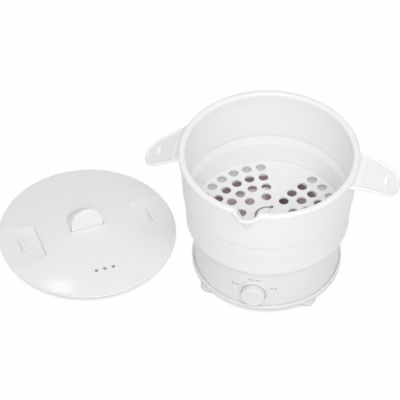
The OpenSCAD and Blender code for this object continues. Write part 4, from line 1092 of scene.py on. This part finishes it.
def stage_material():
    """White paper: pure white to the camera, in mirrors and through glass, with a faint shadow."""
    material = bpy.data.materials.new("white_paper")
    material.use_nodes = True
    tree = material.node_tree
    paper = tree.nodes["Principled BSDF"]
    paper.inputs["Base Color"].default_value = PAPER
    paper.inputs["Roughness"].default_value = PAPER_ROUGHNESS
    paper.inputs["Specular IOR Level"].default_value = PAPER_SPECULAR
    hidden = tree.nodes.new("ShaderNodeAmbientOcclusion")
    hidden.inputs["Distance"].default_value = SHADOW_REACH
    open_air = ranged(tree, hidden.outputs["AO"], SHADOW_EDGES, (0, PAPER_GLOW))
    share = calc(tree, "MULTIPLY", plainly_seen(tree), open_air)
    glow = node(tree, "ShaderNodeEmission", {})
    mix = node(tree, "ShaderNodeMixShader", {0: share, 1: paper.outputs[0], 2: glow})
    tree.links.new(mix, tree.nodes["Material Output"].inputs["Surface"])
    return material


floor_shape = bmesh.new()
bmesh.ops.create_grid(floor_shape, x_segments=1, y_segments=1, size=FLOOR_HALF)
floor_mesh = bpy.data.meshes.new("floor")
floor_shape.to_mesh(floor_mesh)
floor_shape.free()
floor_mesh.materials.append(stage_material())
floor = in_scene("floor", floor_mesh)
floor.location.z = -FLOOR_DROP

world = bpy.data.worlds.new("white_studio")
bpy.context.scene.world = world
world.use_nodes = True
sky = world.node_tree.nodes["Background"].inputs
sky["Color"].default_value = (1, 1, 1, 1)
sky_level = ranged(world.node_tree, plainly_seen(world.node_tree), (0, 1), (SKY_LIGHT, SKY_SEEN))
world.node_tree.links.new(sky_level, sky["Strength"])


def soft_lamp(name, place, aim, size, power):
    """A square soft box that faces the point it is aimed at."""
    lamp = bpy.data.lights.new(name, "AREA")
    lamp.size = size
    lamp.energy = power
    holder = in_scene(name, lamp)
    holder.location = place
    holder.rotation_euler = (Vector(aim) - Vector(place)).to_track_quat("-Z", "Y").to_euler()


soft_lamp("key", place=(0.4, -1.5, 1.75), aim=(-0.05, 0, 0.06), size=1.0, power=20.5)
soft_lamp("low", place=(0.4, -1.6, 0.5), aim=(0, 0, 0.08), size=0.8, power=0.9)
soft_lamp("top", place=(0.0, -0.05, 2.0), aim=(0, 0, 0.06), size=0.5, power=2.6)
soft_lamp("gleam", place=(-0.63, 0.715, 1.80), aim=(-0.195, -0.087, 0.011), size=0.2, power=0.7)

# A weak lamp in the bowl stands for the light that the white walls throw to each other many times.
bounce = bpy.data.lights.new("bounce", "POINT")
bounce.energy = BOUNCE_POWER
bounce.shadow_soft_size = BOUNCE_SIZE
bounce_place = in_scene("bounce", bounce)
bounce_place.location.z = BOUNCE_Z
bounce_place.visible_camera = False
bounce_place.visible_glossy = False

camera = bpy.data.cameras.new("camera")
camera.lens = LENS
camera.sensor_width = SENSOR
viewer = in_scene("camera", camera)
viewer.location = CAMERA_PLACE
viewer.rotation_euler = (math.radians(90 - CAMERA_DOWN), 0, math.radians(CAMERA_ROUND))
bpy.context.scene.camera = viewer
bpy.context.scene.view_settings.view_transform = "Standard"
